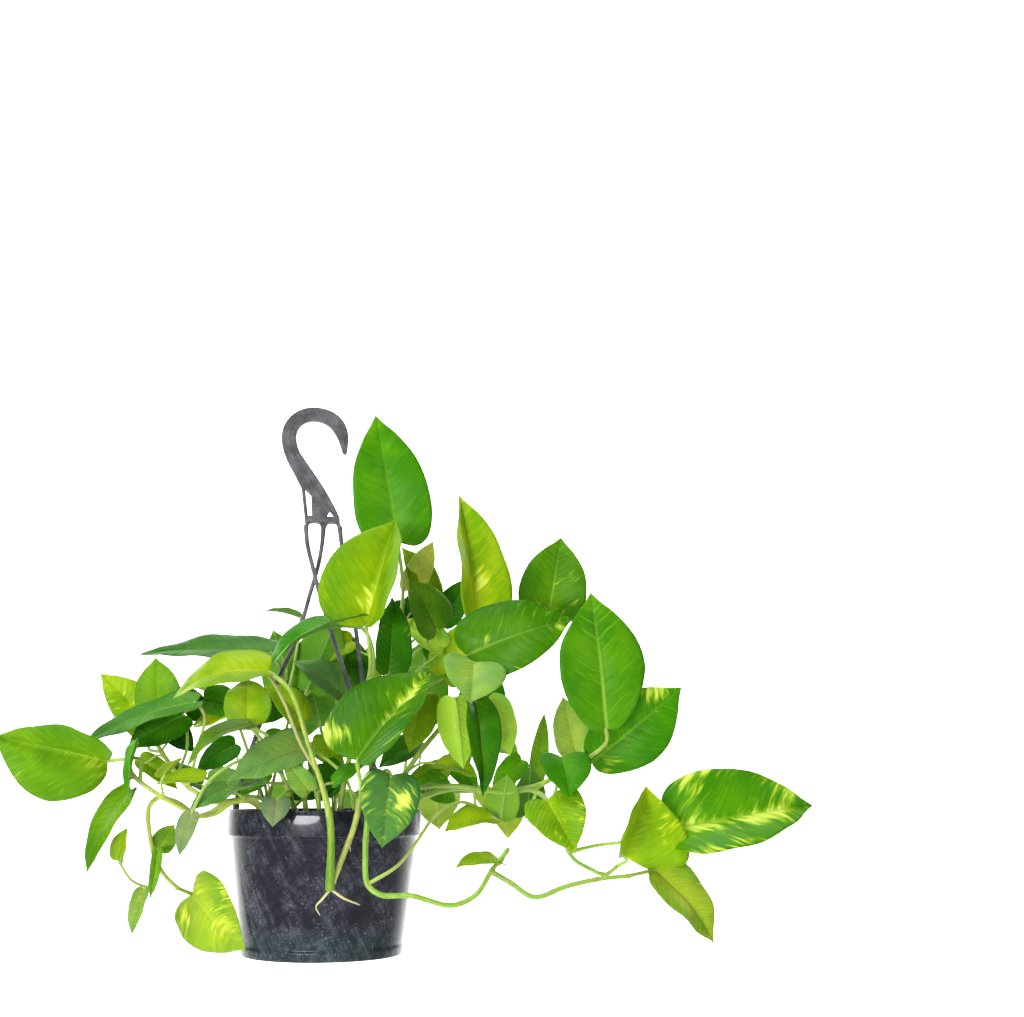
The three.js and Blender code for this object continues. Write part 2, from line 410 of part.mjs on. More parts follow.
// ---- soil --------------------------------------------------------------
const soil = (() => {
  const slope = (RIM_R - 3.2 - BASE_R) / (RIM_LOW - FLOOR);
  const wallAt = (z) => BASE_R - WALL + slope * (z - FLOOR) - 0.6;
  const sides = 24;
  const rings = [0.3, 0.55, 0.8, 1];
  const R = wallAt(SOIL_TOP) - 1.4;
  const bump = (x, y) =>
    1.4 * Math.sin(x * 0.21 + 1.1) * Math.cos(y * 0.19) +
    0.9 * Math.sin(x * 0.47 - y * 0.39 + 2.0);
  const pos = [0, 0, SOIL_TOP];
  for (const q of rings)
    for (let i = 0; i < sides; i++) {
      const a = (i / sides) * 2 * Math.PI;
      const x = q * R * Math.cos(a);
      const y = q * R * Math.sin(a);
      pos.push(x, y, SOIL_TOP - 2.2 * q * q + bump(x, y));
    }
  const low = [[wallAt(60) - 0.3, 60], [BASE_R - WALL - 2.8, FLOOR + GAP + 0.2]];
  for (const [r, z] of low)
    for (let i = 0; i < sides; i++) {
      const a = (i / sides) * 2 * Math.PI;
      pos.push(r * Math.cos(a), r * Math.sin(a), z);
    }
  pos.push(0, 0, FLOOR + GAP + 0.2);
  const end = pos.length / 3 - 1;
  const idx = [];
  for (let i = 0; i < sides; i++) {
    const j = (i + 1) % sides;
    idx.push(0, 1 + i, 1 + j);
    for (let k = 0; k < rings.length + low.length - 1; k++) {
      const a = 1 + k * sides;
      const b = a + sides;
      idx.push(a + i, b + i, b + j, a + i, b + j, a + j);
    }
    const z = 1 + (rings.length + low.length - 1) * sides;
    idx.push(z + i, end, z + j);
  }
  const g = new THREE.BufferGeometry();
  g.setAttribute("position", new THREE.Float32BufferAttribute(pos, 3));
  g.setIndex(idx);
  let s = solid(g);
  for (const [, stems] of VINES) {
    const [r, points] = stems[0];
    const [x, y, z] = points[0];
    const c = new THREE.CylinderGeometry(r + 1, r + 1, 30, 8);
    c.rotateX(Math.PI / 2).translate(x, y, z - 1 + 15);
    s = s.subtract(solid(c));
  }
  return s;
})();

// ---- hanger ------------------------------------------------------------
// One moulded piece: hook, pierced web, foot, yoke, three strands and, at the
// end of each strand, a clip that reaches round the rim band and under it.
const hanger = (() => {
  const outline = new THREE.Shape();
  outline.moveTo(-22, FOOT_Z);
  outline.lineTo(-22.5, FOOT_Z + 3);
  outline.lineTo(-25.5, FOOT_Z + 26);
  outline.lineTo(-33, FOOT_Z + 40);
  outline.quadraticCurveTo(-42.6, 392, -42.6, 404);
  outline.bezierCurveTo(-42.6, 419, -31, 429.5, -16.5, 429.5);
  outline.bezierCurveTo(-1, 429.5, 10.8, 420, 11.4, 405);
  outline.quadraticCurveTo(11.4, 397, 10.4, 392);
  outline.quadraticCurveTo(8.4, 389.5, 6.6, 392.5);
  outline.quadraticCurveTo(3.6, 404, -1, 410);
  outline.quadraticCurveTo(-7, 418, -16.8, 418);
  outline.bezierCurveTo(-25, 418, -30.6, 412, -30.6, 404.5);
  outline.quadraticCurveTo(-30.4, 396, -26.5, 390);
  outline.quadraticCurveTo(-18, 378, -9, 365);
  outline.quadraticCurveTo(0.5, 350, 5.5, FOOT_Z + 3);
  outline.lineTo(5.5, FOOT_Z);
  outline.closePath();
  const hole = (pts) => {
    const p = new THREE.Path();
    pts.forEach(([x, z], i) => (i ? p.lineTo(x, z) : p.moveTo(x, z)));
    p.closePath();
    return p;
  };
  outline.holes.push(
    hole([[-19.6, FOOT_Z + 3.6], [-16.6, FOOT_Z + 3.6], [-17.6, FOOT_Z + 20], [-22.4, FOOT_Z + 25]]),
    hole([[-4.5, FOOT_Z + 3.2], [1.6, FOOT_Z + 3.2], [-1.4, FOOT_Z + 9.5]]),
  );
  const web = new THREE.ExtrudeGeometry(outline, {
    depth: HOOK_T,
    bevelEnabled: false,
    curveSegments: 5,
  });
  web.rotateX(Math.PI / 2).translate(0, HOOK_T / 2, 0);
  const parts = [solid(web)];
  const foot = new THREE.BoxGeometry(28.5, 9, 3.2);
  foot.translate(-8.2, 0, FOOT_Z - 0.6);
  parts.push(solid(foot));
  // yoke: two low arches under the foot
  parts.push(tube([[-21, -3, 330], [-19, -2, 334], [-14, 0, 335.4], [-9, 2, 334], [-7, 4, 330]], 1.7, 6, 4));
  parts.push(tube([[-7, 4, 330], [-5, 2, 334], [-1, 0, 335.4], [4, -1, 334], [6, -1, 330]], 1.7, 6, 4));
  const strands = [
    { angle: 303, path: [[-21, -3, 331], [-19.5, -5, 316], [-15, -9, 298], [-9, -14, 276], [3, -25, 238], [17, -40, 196], [31, -56, 152]] },
    { angle: 157, path: [[-7, 4, 331], [-8, 4.5, 316], [-10.5, 4, 300], [-16, 3, 278], [-25, 2, 244], [-44, 6, 198], [-60, 17, 152]] },
    { angle: 60, path: [[6, -1, 331], [8, 2, 316], [12, 8, 296], [19, 20, 262], [27, 38, 214], [34, 54, 168]] },
  ];
  for (const { angle, path } of strands) {
    const c = Math.cos(THREE.MathUtils.degToRad(angle));
    const s = Math.sin(THREE.MathUtils.degToRad(angle));
    const q = (r, z) => [r * c, r * s, z];
    parts.push(tube([...path, q(74.5, 124), q(RIM_R + 1.6, 112), q(RIM_R + 1.9, 108)], STRAND_R, 5, 18));
    // clip: a leg outside the rim band and a toe under it
    const r0 = RIM_R + GAP + 0.25;
    const side = new THREE.Shape();
    [[r0, 113.5], [r0 + 2.2, 112], [r0 + 2.2, RIM_LOW - 4.2], [r0 + 1.2, RIM_LOW - 5.2],
      [RIM_R - 2.0, RIM_LOW - 4.0], [RIM_R - 2.0, RIM_LOW - 2.2], [r0, RIM_LOW - 1.6]]
      .forEach(([x, z], i) => (i ? side.lineTo(x, z) : side.moveTo(x, z)));
    side.closePath();
    const g = new THREE.ExtrudeGeometry(side, { depth: 8, bevelEnabled: false });
    g.rotateX(Math.PI / 2).translate(0, 4, 0).rotateZ(THREE.MathUtils.degToRad(angle));
    parts.push(solid(g));
  }
  return join(parts);
})();

// ---- scene graph -------------------------------------------------------
const plant = new THREE.Group();
plant.name = "potted_pothos";
plant.position.set(-CROWN.x, 0, -CROWN.z);

const look = (color, roughness) =>
  new THREE.MeshStandardMaterial({ color, roughness, metalness: 0 });

function place(name, made, material) {
  const mesh = new THREE.Mesh(fromSolid(made), material);
  mesh.name = name;
  plant.add(mesh);
}

place("pot", pot, look(0x23262b, 0.45));
place("soil", soil, look(0x2c2019, 0.95));
place("hanger", hanger, look(0x4b484c, 0.5));

for (const [name, stems, leaves] of VINES) {
  // the rooted end stands straight up in its hole
  const [x, y, z] = stems[0][1][0];
  stems[0][1].splice(1, 0, [x, y, z + 6], [x, y, z + 12]);
  // side shoots and leaf stalks start on the middle line of the main stem
  const main = spine(stems[0][1], STEM_STEP);
  const parts = stems.map(([r, points], i) => {
    const start = i ? [nearest(main, points[0])] : [points[0]];
    return tube([...start, ...points.slice(1)], r, 5, STEM_STEP);
  });
  const lines = stems.map(([, points]) => spine(points, STEM_STEP));
  leaves.forEach((leaf, i) => {
    const [base, tip, face, wide, left, right, arch, wave, r, stalk, slim = 0] = leaf;
    const came = at(base).sub(at(stalk[stalk.length - 1])).setLength(1);
    const into = at(tip).sub(at(base)).setLength(1.2).add(came).add(at(base)).toArray();
    const starts = lines.map((line) => at(nearest(line, stalk[0])));
    starts.sort((p, q) => p.distanceTo(at(stalk[0])) - q.distanceTo(at(stalk[0])));
    const way = [starts[0].toArray(), ...stalk.slice(1), base, into];
    parts.push(tube(way, r, 4, STALK_STEP));
    parts.push(blade(base, tip, face, wide, left, right, arch, wave, slim, i));
  });
  place(name, join(parts), look(0x4fa21c, 0.42));
}

export default plant;
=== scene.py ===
"""Potted pothos plant in a plastic hanging basket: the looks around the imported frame.

The tables are in millimetres, laid out from the middle of the pot's underside
as in the part's source; metres() takes them to the row frame. Each vine is
rebuilt finer from the same stems and leaves.
"""
import math

import bmesh
import bpy
import numpy as np
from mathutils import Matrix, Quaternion, Vector


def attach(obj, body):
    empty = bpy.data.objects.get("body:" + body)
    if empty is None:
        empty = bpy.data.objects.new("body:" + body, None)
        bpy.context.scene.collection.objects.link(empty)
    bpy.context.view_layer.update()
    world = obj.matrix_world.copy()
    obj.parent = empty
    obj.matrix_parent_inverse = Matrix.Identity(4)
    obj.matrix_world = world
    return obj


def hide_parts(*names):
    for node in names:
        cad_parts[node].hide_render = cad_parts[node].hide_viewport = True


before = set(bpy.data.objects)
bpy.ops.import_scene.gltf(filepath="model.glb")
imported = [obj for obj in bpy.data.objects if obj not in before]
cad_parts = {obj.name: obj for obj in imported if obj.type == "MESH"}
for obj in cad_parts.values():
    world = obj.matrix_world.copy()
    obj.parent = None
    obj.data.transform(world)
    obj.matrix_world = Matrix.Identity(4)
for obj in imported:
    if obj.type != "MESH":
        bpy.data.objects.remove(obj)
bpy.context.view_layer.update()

# ---- driving dimensions, mm ----------------------------------------------
CROWN_X, CROWN_Z = -16.8, 418.0  # inside of the hook's crown
POT_H, RIM_R, RIM_LOW, WALL = 108.0, 74.5, 89.0, 1.8
BASE_R, FOOT_H, FLOOR = 61.0, 7.0, 3.0
SOIL_TOP = 95.0
HOOK_T, STRAND_R, FOOT_Z = 5.5, 1.9, 336.0
GAP = 0.3  # between the hanger's clips and the rim
ROOT_Z = (83, 89, 95, 99)  # heights of the points of each stem's upright foot
THIN, THICK = 1.2, 2.5  # radii: a root is under the one, the stout stalk over the other
VEINS = 11.0  # lateral veins over the length of a blade
TAU = 2 * math.pi


def metres(p):
    return (np.asarray(p, float) - np.array([CROWN_X, 0.0, CROWN_Z])) / 1000.0


def unit(v):
    v = np.asarray(v, float)
    n = np.linalg.norm(v, axis=-1, keepdims=True)
    return v / np.where(n < 1e-12, 1, n)


def clamp(x):
    return np.clip(x, 0, 1)


def bell(x):
    return np.exp(-(x**2))


def lengths(line):
    """How far along a row of points each of them is."""
    return np.r_[0, np.cumsum(np.linalg.norm(np.diff(line, axis=0), axis=1))]


def circle(n):
    return np.arange(n) / n * TAU


def ring(r, z, n, x=0.0, y=0.0):
    ang = circle(n)
    return np.c_[x + r * np.cos(ang), y + r * np.sin(ang), np.full(n, z)]


def strip(a, b, n):
    """Quads between two closed rows of n points, which start at a and at b."""
    return [[a + j, a + (j + 1) % n, b + (j + 1) % n, b + j] for j in range(n)]


def turned(co, angle):
    """Points turned about Z."""
    c, s = math.cos(angle), math.sin(angle)
    return co @ np.array([[c, -s, 0], [s, c, 0], [0, 0, 1]]).T


def link(name, data):
    ob = bpy.data.objects.new(name, data)
    bpy.context.scene.collection.objects.link(ob)
    return ob


# ---- node helpers ----------------------------------------------------------
class Nodes:
    """Short calls for building a material's node tree."""

    def __init__(self, name):
        self.mat = bpy.data.materials.new(name)
        self.mat.use_nodes = True
        self.tree = self.mat.node_tree
        self.tree.nodes.clear()
        out, self.bsdf = self.node("OutputMaterial"), self.node("BsdfPrincipled")
        self.tree.links.new(self.bsdf.outputs[0], out.inputs[0])

    def put(self, socket, value):
        if isinstance(value, bpy.types.NodeSocket):
            self.tree.links.new(value, socket)
        else:
            socket.default_value = value

    def node(self, kind, inputs=(), **settings):
        """A new node; inputs go by name or number."""
        n = self.tree.nodes.new("ShaderNode" + kind)
        for name, value in settings.items():
            setattr(n, name, value)
        for key, value in dict(inputs).items():
            self.put(n.inputs[key], value)
        return n

    def attr(self, name, out="Fac"):
        return self.node("Attribute", attribute_name=name).outputs[out]

    def coords(self):
        return self.node("TexCoord").outputs["Object"]

    def math(self, op, *values, clamp=False):
        return self.node("Math", enumerate(values), operation=op, use_clamp=clamp).outputs[0]

    def mul(self, a, *others):
        for b in others:
            a = self.math("MULTIPLY", a, b)
        return a

    def add(self, a, b):
        return self.math("ADD", a, b)

    def sub(self, a, b):
        return self.math("SUBTRACT", a, b)

    def weigh(self, *terms, base=0.0):
        """base and each value times its weight, added up."""
        for value, weight in terms:
            base = self.math("MULTIPLY_ADD", value, weight, base)
        return base

    def ramp(self, x, lo, hi, a=0.0, b=1.0):
        """x taken smoothly from lo..hi to a..b."""
        return self.node("MapRange", enumerate((x, lo, hi, a, b)), interpolation_type="SMOOTHSTEP").outputs[0]

    def mix(self, fac, a, b, kind="MIX"):
        a, b = (v if isinstance(v, bpy.types.NodeSocket) else (*v, 1.0) for v in (a, b))
        return self.node("Mix", {0: fac, 6: a, 7: b}, data_type="RGBA", blend_type=kind).outputs[2]

    def lay(self, color, *layers):
        """Each layer is a share and the colour that it lays over those before."""
        for share, over in layers:
            color = self.mix(share, color, over)
        return color

    def tint(self, color, *factors):
        return self.mix(1.0, color, factors, "MULTIPLY")

    def combine(self, *xyz):
        return self.node("CombineXYZ", enumerate(xyz)).outputs[0]

    def split(self, v):
        return self.node("SeparateXYZ", {0: v}).outputs

    def noise(self, vector, scale, detail=2.0, rough=0.5, distort=0.0):
        inputs = {"Vector": vector, "Scale": scale, "Detail": detail, "Roughness": rough, "Distortion": distort}
        return self.node("TexNoise", inputs).outputs["Fac"]

    def set(self, **values):
        for name, value in values.items():
            self.put(self.bsdf.inputs[name.replace("_", " ")], value)
        return self.mat

    def finish(self, color, rough, relief, strength, distance, **values):
        """The surface's colour, roughness and relief, with the relief's depth in metres."""
        bump = self.node("Bump", {"Strength": strength, "Distance": distance, "Height": relief}).outputs[0]
        return self.set(Base_Color=color, Roughness=rough, Normal=bump, **values)


# ---- materials ---------------------------------------------------------------
def leaf_material():
    m = Nodes("leaf")
    tone, seed, here = m.attr("tone", "Color"), m.attr("seed"), m.coords()
    x, a, k = m.split(m.attr("place", "Vector"))  # across and along the blade, vein number
    cream, vein, under = m.split(m.attr("look", "Vector"))  # cream share, vein strength, underside
    across = m.math("ABSOLUTE", x)

    # mottled green that deepens to the margin and the tip
    deep, light, pale = m.tint(tone, 0.58, 0.74, 0.8), m.tint(tone, 1.42, 1.16, 1.0), m.tint(tone, 2.0, 1.34, 1.6)
    near_rib = m.mul(m.ramp(a, 0.55, 0.05), m.ramp(across, 0.22, 0.0, 0.0, 0.9))
    cloud, edge = m.ramp(m.noise(here, 34.0, 3.0, 0.55), 0.34, 0.66), m.ramp(across, 0.10, 0.36, 0.0, 0.70)
    green = m.lay(deep, (cloud, light), (edge, deep), (near_rib, light))

    # soft bands fan out from the midrib, a vein in the middle of each; the hollow by each vein is painted darker, as
    # shade
    fan = m.add(k, m.mul(m.noise(m.combine(x, a, seed), 4.0), 0.12))
    tooth = m.math("ABSOLUTE", m.sub(m.math("FRACT", m.mul(fan, VEINS)), 0.5))
    line = m.mul(m.ramp(tooth, 0.33, 0.5), m.ramp(m.noise(m.combine(k, x, seed), 7.0), 0.34, 0.6))
    hollow = m.ramp(tooth, 0.02, 0.5)
    veins = m.mul(line, m.ramp(across, 0.40, 0.08), vein)
    # fine streaks along the veins, lighter and darker: a painted satin sheen with painted highlight dashes; the same
    # noise also roughens and bumps the blade
    streaks_and_sheen = m.noise(m.combine(m.mul(fan, 62.0), m.mul(x, 5.0), seed), 1.0, 3.0, 0.6)
    bright, dim = m.ramp(streaks_and_sheen, 0.52, 0.74, 0.0, 0.55), m.ramp(streaks_and_sheen, 0.48, 0.28, 0.0, 0.45)
    green = m.lay(green, (m.mul(hollow, 0.30), deep), (bright, light), (dim, deep), (m.mul(veins, 0.8), pale))

    # yellow strokes run out along the veins, soft at their edges, paler within
    streak = m.noise(m.combine(m.mul(fan, 19.0), m.mul(x, 4.6), seed), 1.0, 4.0, 0.62, 0.35)
    blot = m.noise(m.combine(m.mul(x, 4.0), m.mul(a, 2.8), m.add(seed, 7.0)), 1.0, 1.5)
    over = m.weigh((streak, 0.58), (blot, 0.42), (cream, 0.22), base=-0.70)
    some = m.ramp(cream, 0.0, 0.06)
    gold = m.mix(0.55, m.tint(tone, 2.9, 1.55, 1.4), (0.42, 0.60, 0.03))
    stroke, core = m.mul(m.ramp(over, -0.065, 0.04), some, 0.72), m.mul(m.ramp(over, 0.0, 0.09), some, 0.7)
    green = m.lay(green, (stroke, gold), (core, (0.66, 0.76, 0.13)))

    # midrib, strong at the base and lost towards the tip
    rib = m.ramp(m.math("DIVIDE", across, m.weigh((a, -0.009), base=0.014)), 1.7, 0.4)
    strength = m.math("MULTIPLY", m.ramp(a, 1.0, 0.1, 0.18, 1.0), m.weigh((vein, 0.8), base=0.12), clamp=True)
    green = m.mix(m.mul(rib, strength), green, m.mix(0.3, pale, (0.42, 0.58, 0.10)))

    # underside: a little paler and greyer, with the same ribs
    below = m.mix(0.26, m.tint(tone, 1.30, 1.08, 1.3), (0.17, 0.28, 0.05))
    below = m.mix(m.mul(m.weigh((veins, 0.5), base=rib), 0.4), below, (0.36, 0.50, 0.18))

    cells = m.node("TexVoronoi", {"Vector": here, "Scale": 900.0}).outputs["Distance"]
    relief = m.weigh((hollow, -0.35), (cells, 0.10), (line, -0.22), (streaks_and_sheen, 0.30), (rib, -0.5))
    rough = m.weigh((streaks_and_sheen, 0.26), (under, 0.2), base=0.24)
    return m.finish(m.mix(under, green, below), rough, relief, 0.55, 0.0007, Specular_IOR_Level=0.07)


def stem_material():
    m = Nodes("stem")
    tone, seed, here = m.attr("tone", "Color"), m.attr("seed"), m.coords()
    run = m.attr("run")  # metres along the stem
    fibre = m.noise(m.combine(m.mul(run, 30.0), m.attr("turn"), seed), 6.0, 3.0, 0.6)
    color = m.mix(m.ramp(fibre, 0.35, 0.68), m.tint(tone, 0.68, 0.78, 0.7), m.tint(tone, 1.3, 1.16, 1.2))
    tan = m.ramp(m.noise(m.combine(m.mul(run, 55.0), seed, 0.0), 1.0, 3.0, 0.6), 0.50, 0.72)
    specks = m.ramp(m.noise(here, 620.0, 1.0), 0.64, 0.72)
    knots = (m.mul(m.attr("knot"), 0.6), (0.23, 0.19, 0.06))
    color = m.lay(color, (m.mul(tan, 0.40), (0.26, 0.24, 0.07)), (m.mul(specks, 0.25), (0.20, 0.17, 0.05)), knots)
    relief = m.weigh((m.noise(here, 500.0), 0.4), base=fibre)
    return m.finish(color, m.weigh((fibre, 0.2), base=0.34), relief, 0.35, 0.0005, Specular_IOR_Level=0.45)


def pot_material():
    m = Nodes("pot_plastic")
    here = m.coords()
    x, y, z = m.split(here)
    turn = m.math("ARCTAN2", y, m.add(x, CROWN_X / 1000.0))

    def sweep(slant, across, along, seed, detail):
        """Noise drawn out along lines that climb the wall at a slant."""
        skew = m.weigh((z, slant), base=turn)
        return m.noise(m.combine(m.mul(skew, across), m.mul(z, along), seed), 1.0, detail, 0.68, 0.7)

    # fine moulded grain, scuffs that run several ways, specks and a haze of dust
    grain = m.noise(here, 1500.0, 2.0, 0.6)
    scuff, wipe = sweep(9.0, 13.0, 42.0, 0.0, 5.0), sweep(-13.0, 7.0, 90.0, 5.0, 5.0)
    cloud = m.noise(here, 42.0, 4.0, 0.62)
    one, other = sweep(-17.0, 52.0, 26.0, 3.0, 3.0), sweep(24.0, 44.0, 30.0, 8.0, 3.0)
    lines = m.math("MAXIMUM", m.ramp(one, 0.66, 0.74), m.ramp(other, 0.68, 0.76))
    haze = m.weigh((scuff, 0.36), (wipe, 0.30), (cloud, 0.34))
    low = m.ramp(z, (30.0 - CROWN_Z) / 1000.0, (8.0 - CROWN_Z) / 1000.0)
    dark = m.mix(low, (0.0085, 0.0090, 0.0140), (0.010, 0.016, 0.019))
    dusty = m.mix(low, (0.052, 0.055, 0.074), (0.052, 0.072, 0.080))
    speck = m.mul(m.ramp(m.noise(here, 760.0, 1.5), 0.60, 0.70), m.ramp(cloud, 0.40, 0.60))
    scuffs, specks = (m.mul(lines, 0.35), (0.15, 0.16, 0.18)), (m.mul(speck, 0.42), (0.20, 0.21, 0.25))
    color = m.lay(dark, (m.ramp(haze, 0.45, 0.65), dusty), scuffs, specks)
    rough = m.weigh((haze, 0.35), (speck, 0.12), base=0.08)
    relief = m.weigh((grain, 0.30), (haze, 0.6), (lines, -0.3))
    return m.finish(color, rough, relief, 0.25, 0.0005, Specular_IOR_Level=0.08, Coat_Weight=0.22, Coat_Roughness=0.07)


def hanger_material():
    m = Nodes("hanger_plastic")
    here = m.coords()
    x, y, z = m.split(here)
    grain, cloud = m.noise(here, 1300.0, 2.0, 0.6), m.noise(here, 90.0, 4.0, 0.65)
    lean = m.weigh((z, 0.62), base=x)  # across the shank
    # pale streaks along the shank: painted highlight lines; the same noise also gives a faint relief
    streak = m.noise(m.combine(m.mul(lean, 900.0), m.mul(z, 120.0), m.mul(y, 90.0)), 1.0, 3.0, 0.6, 0.4)
    color = m.mix(m.ramp(cloud, 0.35, 0.65), (0.040, 0.039, 0.044), (0.090, 0.088, 0.098))
    color = m.mix(m.ramp(streak, 0.52, 0.74, 0.0, 0.30), color, (0.24, 0.235, 0.255))
    relief = m.weigh((streak, 0.5), base=grain)
    return m.finish(color, m.weigh((cloud, 0.25), base=0.30), relief, 0.35, 0.0004, Specular_IOR_Level=0.5)


def soil_material():
    m = Nodes("compost")
    here = m.coords()
    big, small = m.noise(here, 140.0, 4.0, 0.65), m.noise(here, 700.0, 3.0, 0.7)
    color = m.mix(m.ramp(big, 0.3, 0.7), (0.010, 0.006, 0.004), (0.050, 0.030, 0.017))
    color = m.mix(m.mul(m.ramp(small, 0.58, 0.7), 0.6), color, (0.12, 0.075, 0.04))
    return m.finish(color, m.weigh((small, 0.15), base=0.8), m.weigh((small, 0.6), base=big), 0.8, 0.002)


def crumb_material():
    m = Nodes("crumb")
    tone, small = m.attr("tone", "Color"), m.noise(m.coords(), 900.0, 3.0, 0.7)
    color = m.mix(m.ramp(small, 0.3, 0.7), m.tint(tone, 0.55, 0.55, 0.55), tone)
    return m.finish(color, m.weigh((small, 0.15), base=0.8), small, 0.7, 0.001)


# ---- meshes ------------------------------------------------------------------
VECTORS = ("tone", "place", "look")  # the point attributes of three numbers each


class Patch:
    """Vertices, faces and point attributes of one piece, gathered part by part."""

    def __init__(self):
        self.co, self.faces, self.attrs, self.n = [], [], [], 0

    def add(self, co, faces, **attrs):
        """Adds a part; an attribute is given once or for each of its points."""
        self.co.append(np.asarray(co, float))
        self.faces += [[int(i) + self.n for i in f] for f in faces]
        self.attrs.append((len(co), attrs))
        self.n += len(co)

    def make(self, name, material, slot, *nodes, fine=True):
        mesh = bpy.data.meshes.new(name)
        mesh.from_pydata(metres(np.concatenate(self.co)).tolist(), [], self.faces)
        for key in sorted({k for _, attrs in self.attrs for k in attrs}):
            wide = 3 if key in VECTORS else 1
            rows = [np.zeros((n, wide)) + np.reshape(attrs.get(key, [0.0] * wide), (-1, wide)) for n, attrs in self.attrs]
            data, kind, field = np.concatenate(rows), "FLOAT_VECTOR" if wide == 3 else "FLOAT", "vector" if wide == 3 else "value"
            if key == "tone":
                data, kind, field = np.c_[data, np.ones(len(data))], "FLOAT_COLOR", "color"
            mesh.attributes.new(key, kind, "POINT").data.foreach_set(field, data.astype(np.float32).ravel())
        mesh.materials.append(material)
        mesh.validate()
        mesh.update()
        if fine:
            mesh.polygons.foreach_set("use_smooth", [True] * len(mesh.polygons))
        ob = link(name, mesh)
        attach(ob, "root")
        if nodes:
            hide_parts(*nodes)
        return ob


def smooth(p, count, before=None, axes=slice(None)):
    """Points on the centripetal Catmull-Rom curve through p, count(gap) of them in each gap.

    before is the point that leads in, and axes are those that gaps are measured on.
    """
    out = []
    for i in range(len(p) - 1):
        p1, p2 = p[i], p[i + 1]
        p0 = p[i - 1] if i else 2 * p1 - p2 if before is None else before
        p3 = p[i + 2] if i + 2 < len(p) else 2 * p2 - p1
        d = [max(np.linalg.norm((b - a)[axes]) ** 0.5, 1e-3) for a, b in ((p0, p1), (p1, p2), (p2, p3))]
        t1 = ((p1 - p0) / d[0] - (p2 - p0) / (d[0] + d[1]) + (p2 - p1) / d[1]) * d[1]
        t2 = ((p2 - p1) / d[1] - (p3 - p1) / (d[1] + d[2]) + (p3 - p2) / d[2]) * d[1]
        t = np.linspace(0, 1, count(np.linalg.norm(p2 - p1)), endpoint=False)[:, None]
        ends = (2 * t**3 - 3 * t**2 + 1) * p1 + (3 * t**2 - 2 * t**3) * p2
        out.append(ends + (t**3 - 2 * t**2 + t) * t1 + (t**3 - t**2) * t2)
    return np.concatenate([*out, p[-1:]])


def even(line, s, n):
    """n points on a line, at even steps of s."""
    return np.stack([np.interp(np.linspace(0, s[-1], n), s, row) for row in line.T], 1)


def curve(points, step=2.0):
    """Points at even steps on the smooth curve through points."""
    fine = smooth(np.asarray(points, float), lambda gap: max(4, int(gap)))
    s = lengths(fine)
    return even(fine, s, max(3, int(round(s[-1] / step)) + 1))


def nearest(row, p):
    """The place on a row of points that is nearest to p, how far along it is and how far off."""
    d = np.diff(row, axis=0)
    length = np.linalg.norm(d, axis=1)
    t = clamp(((p - row[:-1]) * d).sum(1) / np.maximum(length**2, 1e-9))
    q = row[:-1] + t[:, None] * d
    far = np.linalg.norm(q - p, axis=1)
    i = far.argmin()
    return q[i], length[:i].sum() + t[i] * length[i], far[i]


def tube(line, radius, sides=10):
    """(points, faces, run, turn) of a round tube; radius is one number for each point."""
    ways = unit(np.gradient(line, axis=0))
    side = unit(np.cross(ways[0], [0.3, 0.2, 1.0]))
    ang, co, n = circle(sides), [], len(line)
    for c, d, r in zip(line, ways, radius):
        side = unit(side - (side @ d) * d)
        co.append(c + r * (np.cos(ang)[:, None] * side + np.sin(ang)[:, None] * np.cross(d, side)))
    faces = [f for i in range(n - 1) for f in strip(i * sides, (i + 1) * sides, sides)]
    faces += [list(range(sides))[::-1], list(range((n - 1) * sides, n * sides))]
    return np.concatenate(co), faces, np.repeat(lengths(line), sides), np.tile(np.sin(ang), n)


# A heart-shaped blade: rows from the base to the tip, the place on the midrib,
# then where the margin lies along the axis and how far out it is, as shares of
# the length for a blade HEART_WIDE as wide as it is long, and the margin wave's phase.
HEART = np.array([
    [0.0, 0.0, 0.0, -1],
    [0.03, -0.06, 0.17, 0],
    [0.1, 0.0, 0.3, 1],
    [0.23, 0.16, 0.37, 2],
    [0.42, 0.39, 0.37, 3],
    [0.63, 0.62, 0.305, 4],
    [0.82, 0.82, 0.17, 5],
    [0.925, 0.925, 0.065, 5.55],
    [1.0, 1.0, 0.0, 6],
])
HEART_WIDE = 0.75
WIDEST = 0.42  # place along the midrib where a blade is widest
ROWS, HALF = 54, 9  # steps along a blade and across each half
ACROSS = 2 * HALF + 1
POINTS = (ROWS + 1) * ACROSS  # of each sheet of a blade
MARGIN_POINTS = 24  # smooth steps between two rows of HEART
LEAD_IN = np.array([0.012, 0.075, -0.13, -2])  # curves the margin into the base
DOME, QUILT, FRILL = 0.055, 0.0022, 0.008  # how far a blade rises, as shares of its half width and its length

OUTLINE = smooth(HEART, lambda gap: MARGIN_POINTS, LEAD_IN, slice(1, 3))
OUTLINE = even(OUTLINE, lengths(OUTLINE[:, 1:3]), ROWS + 1)
OUTLINE[:, 2] = np.maximum(OUTLINE[:, 2], 0)


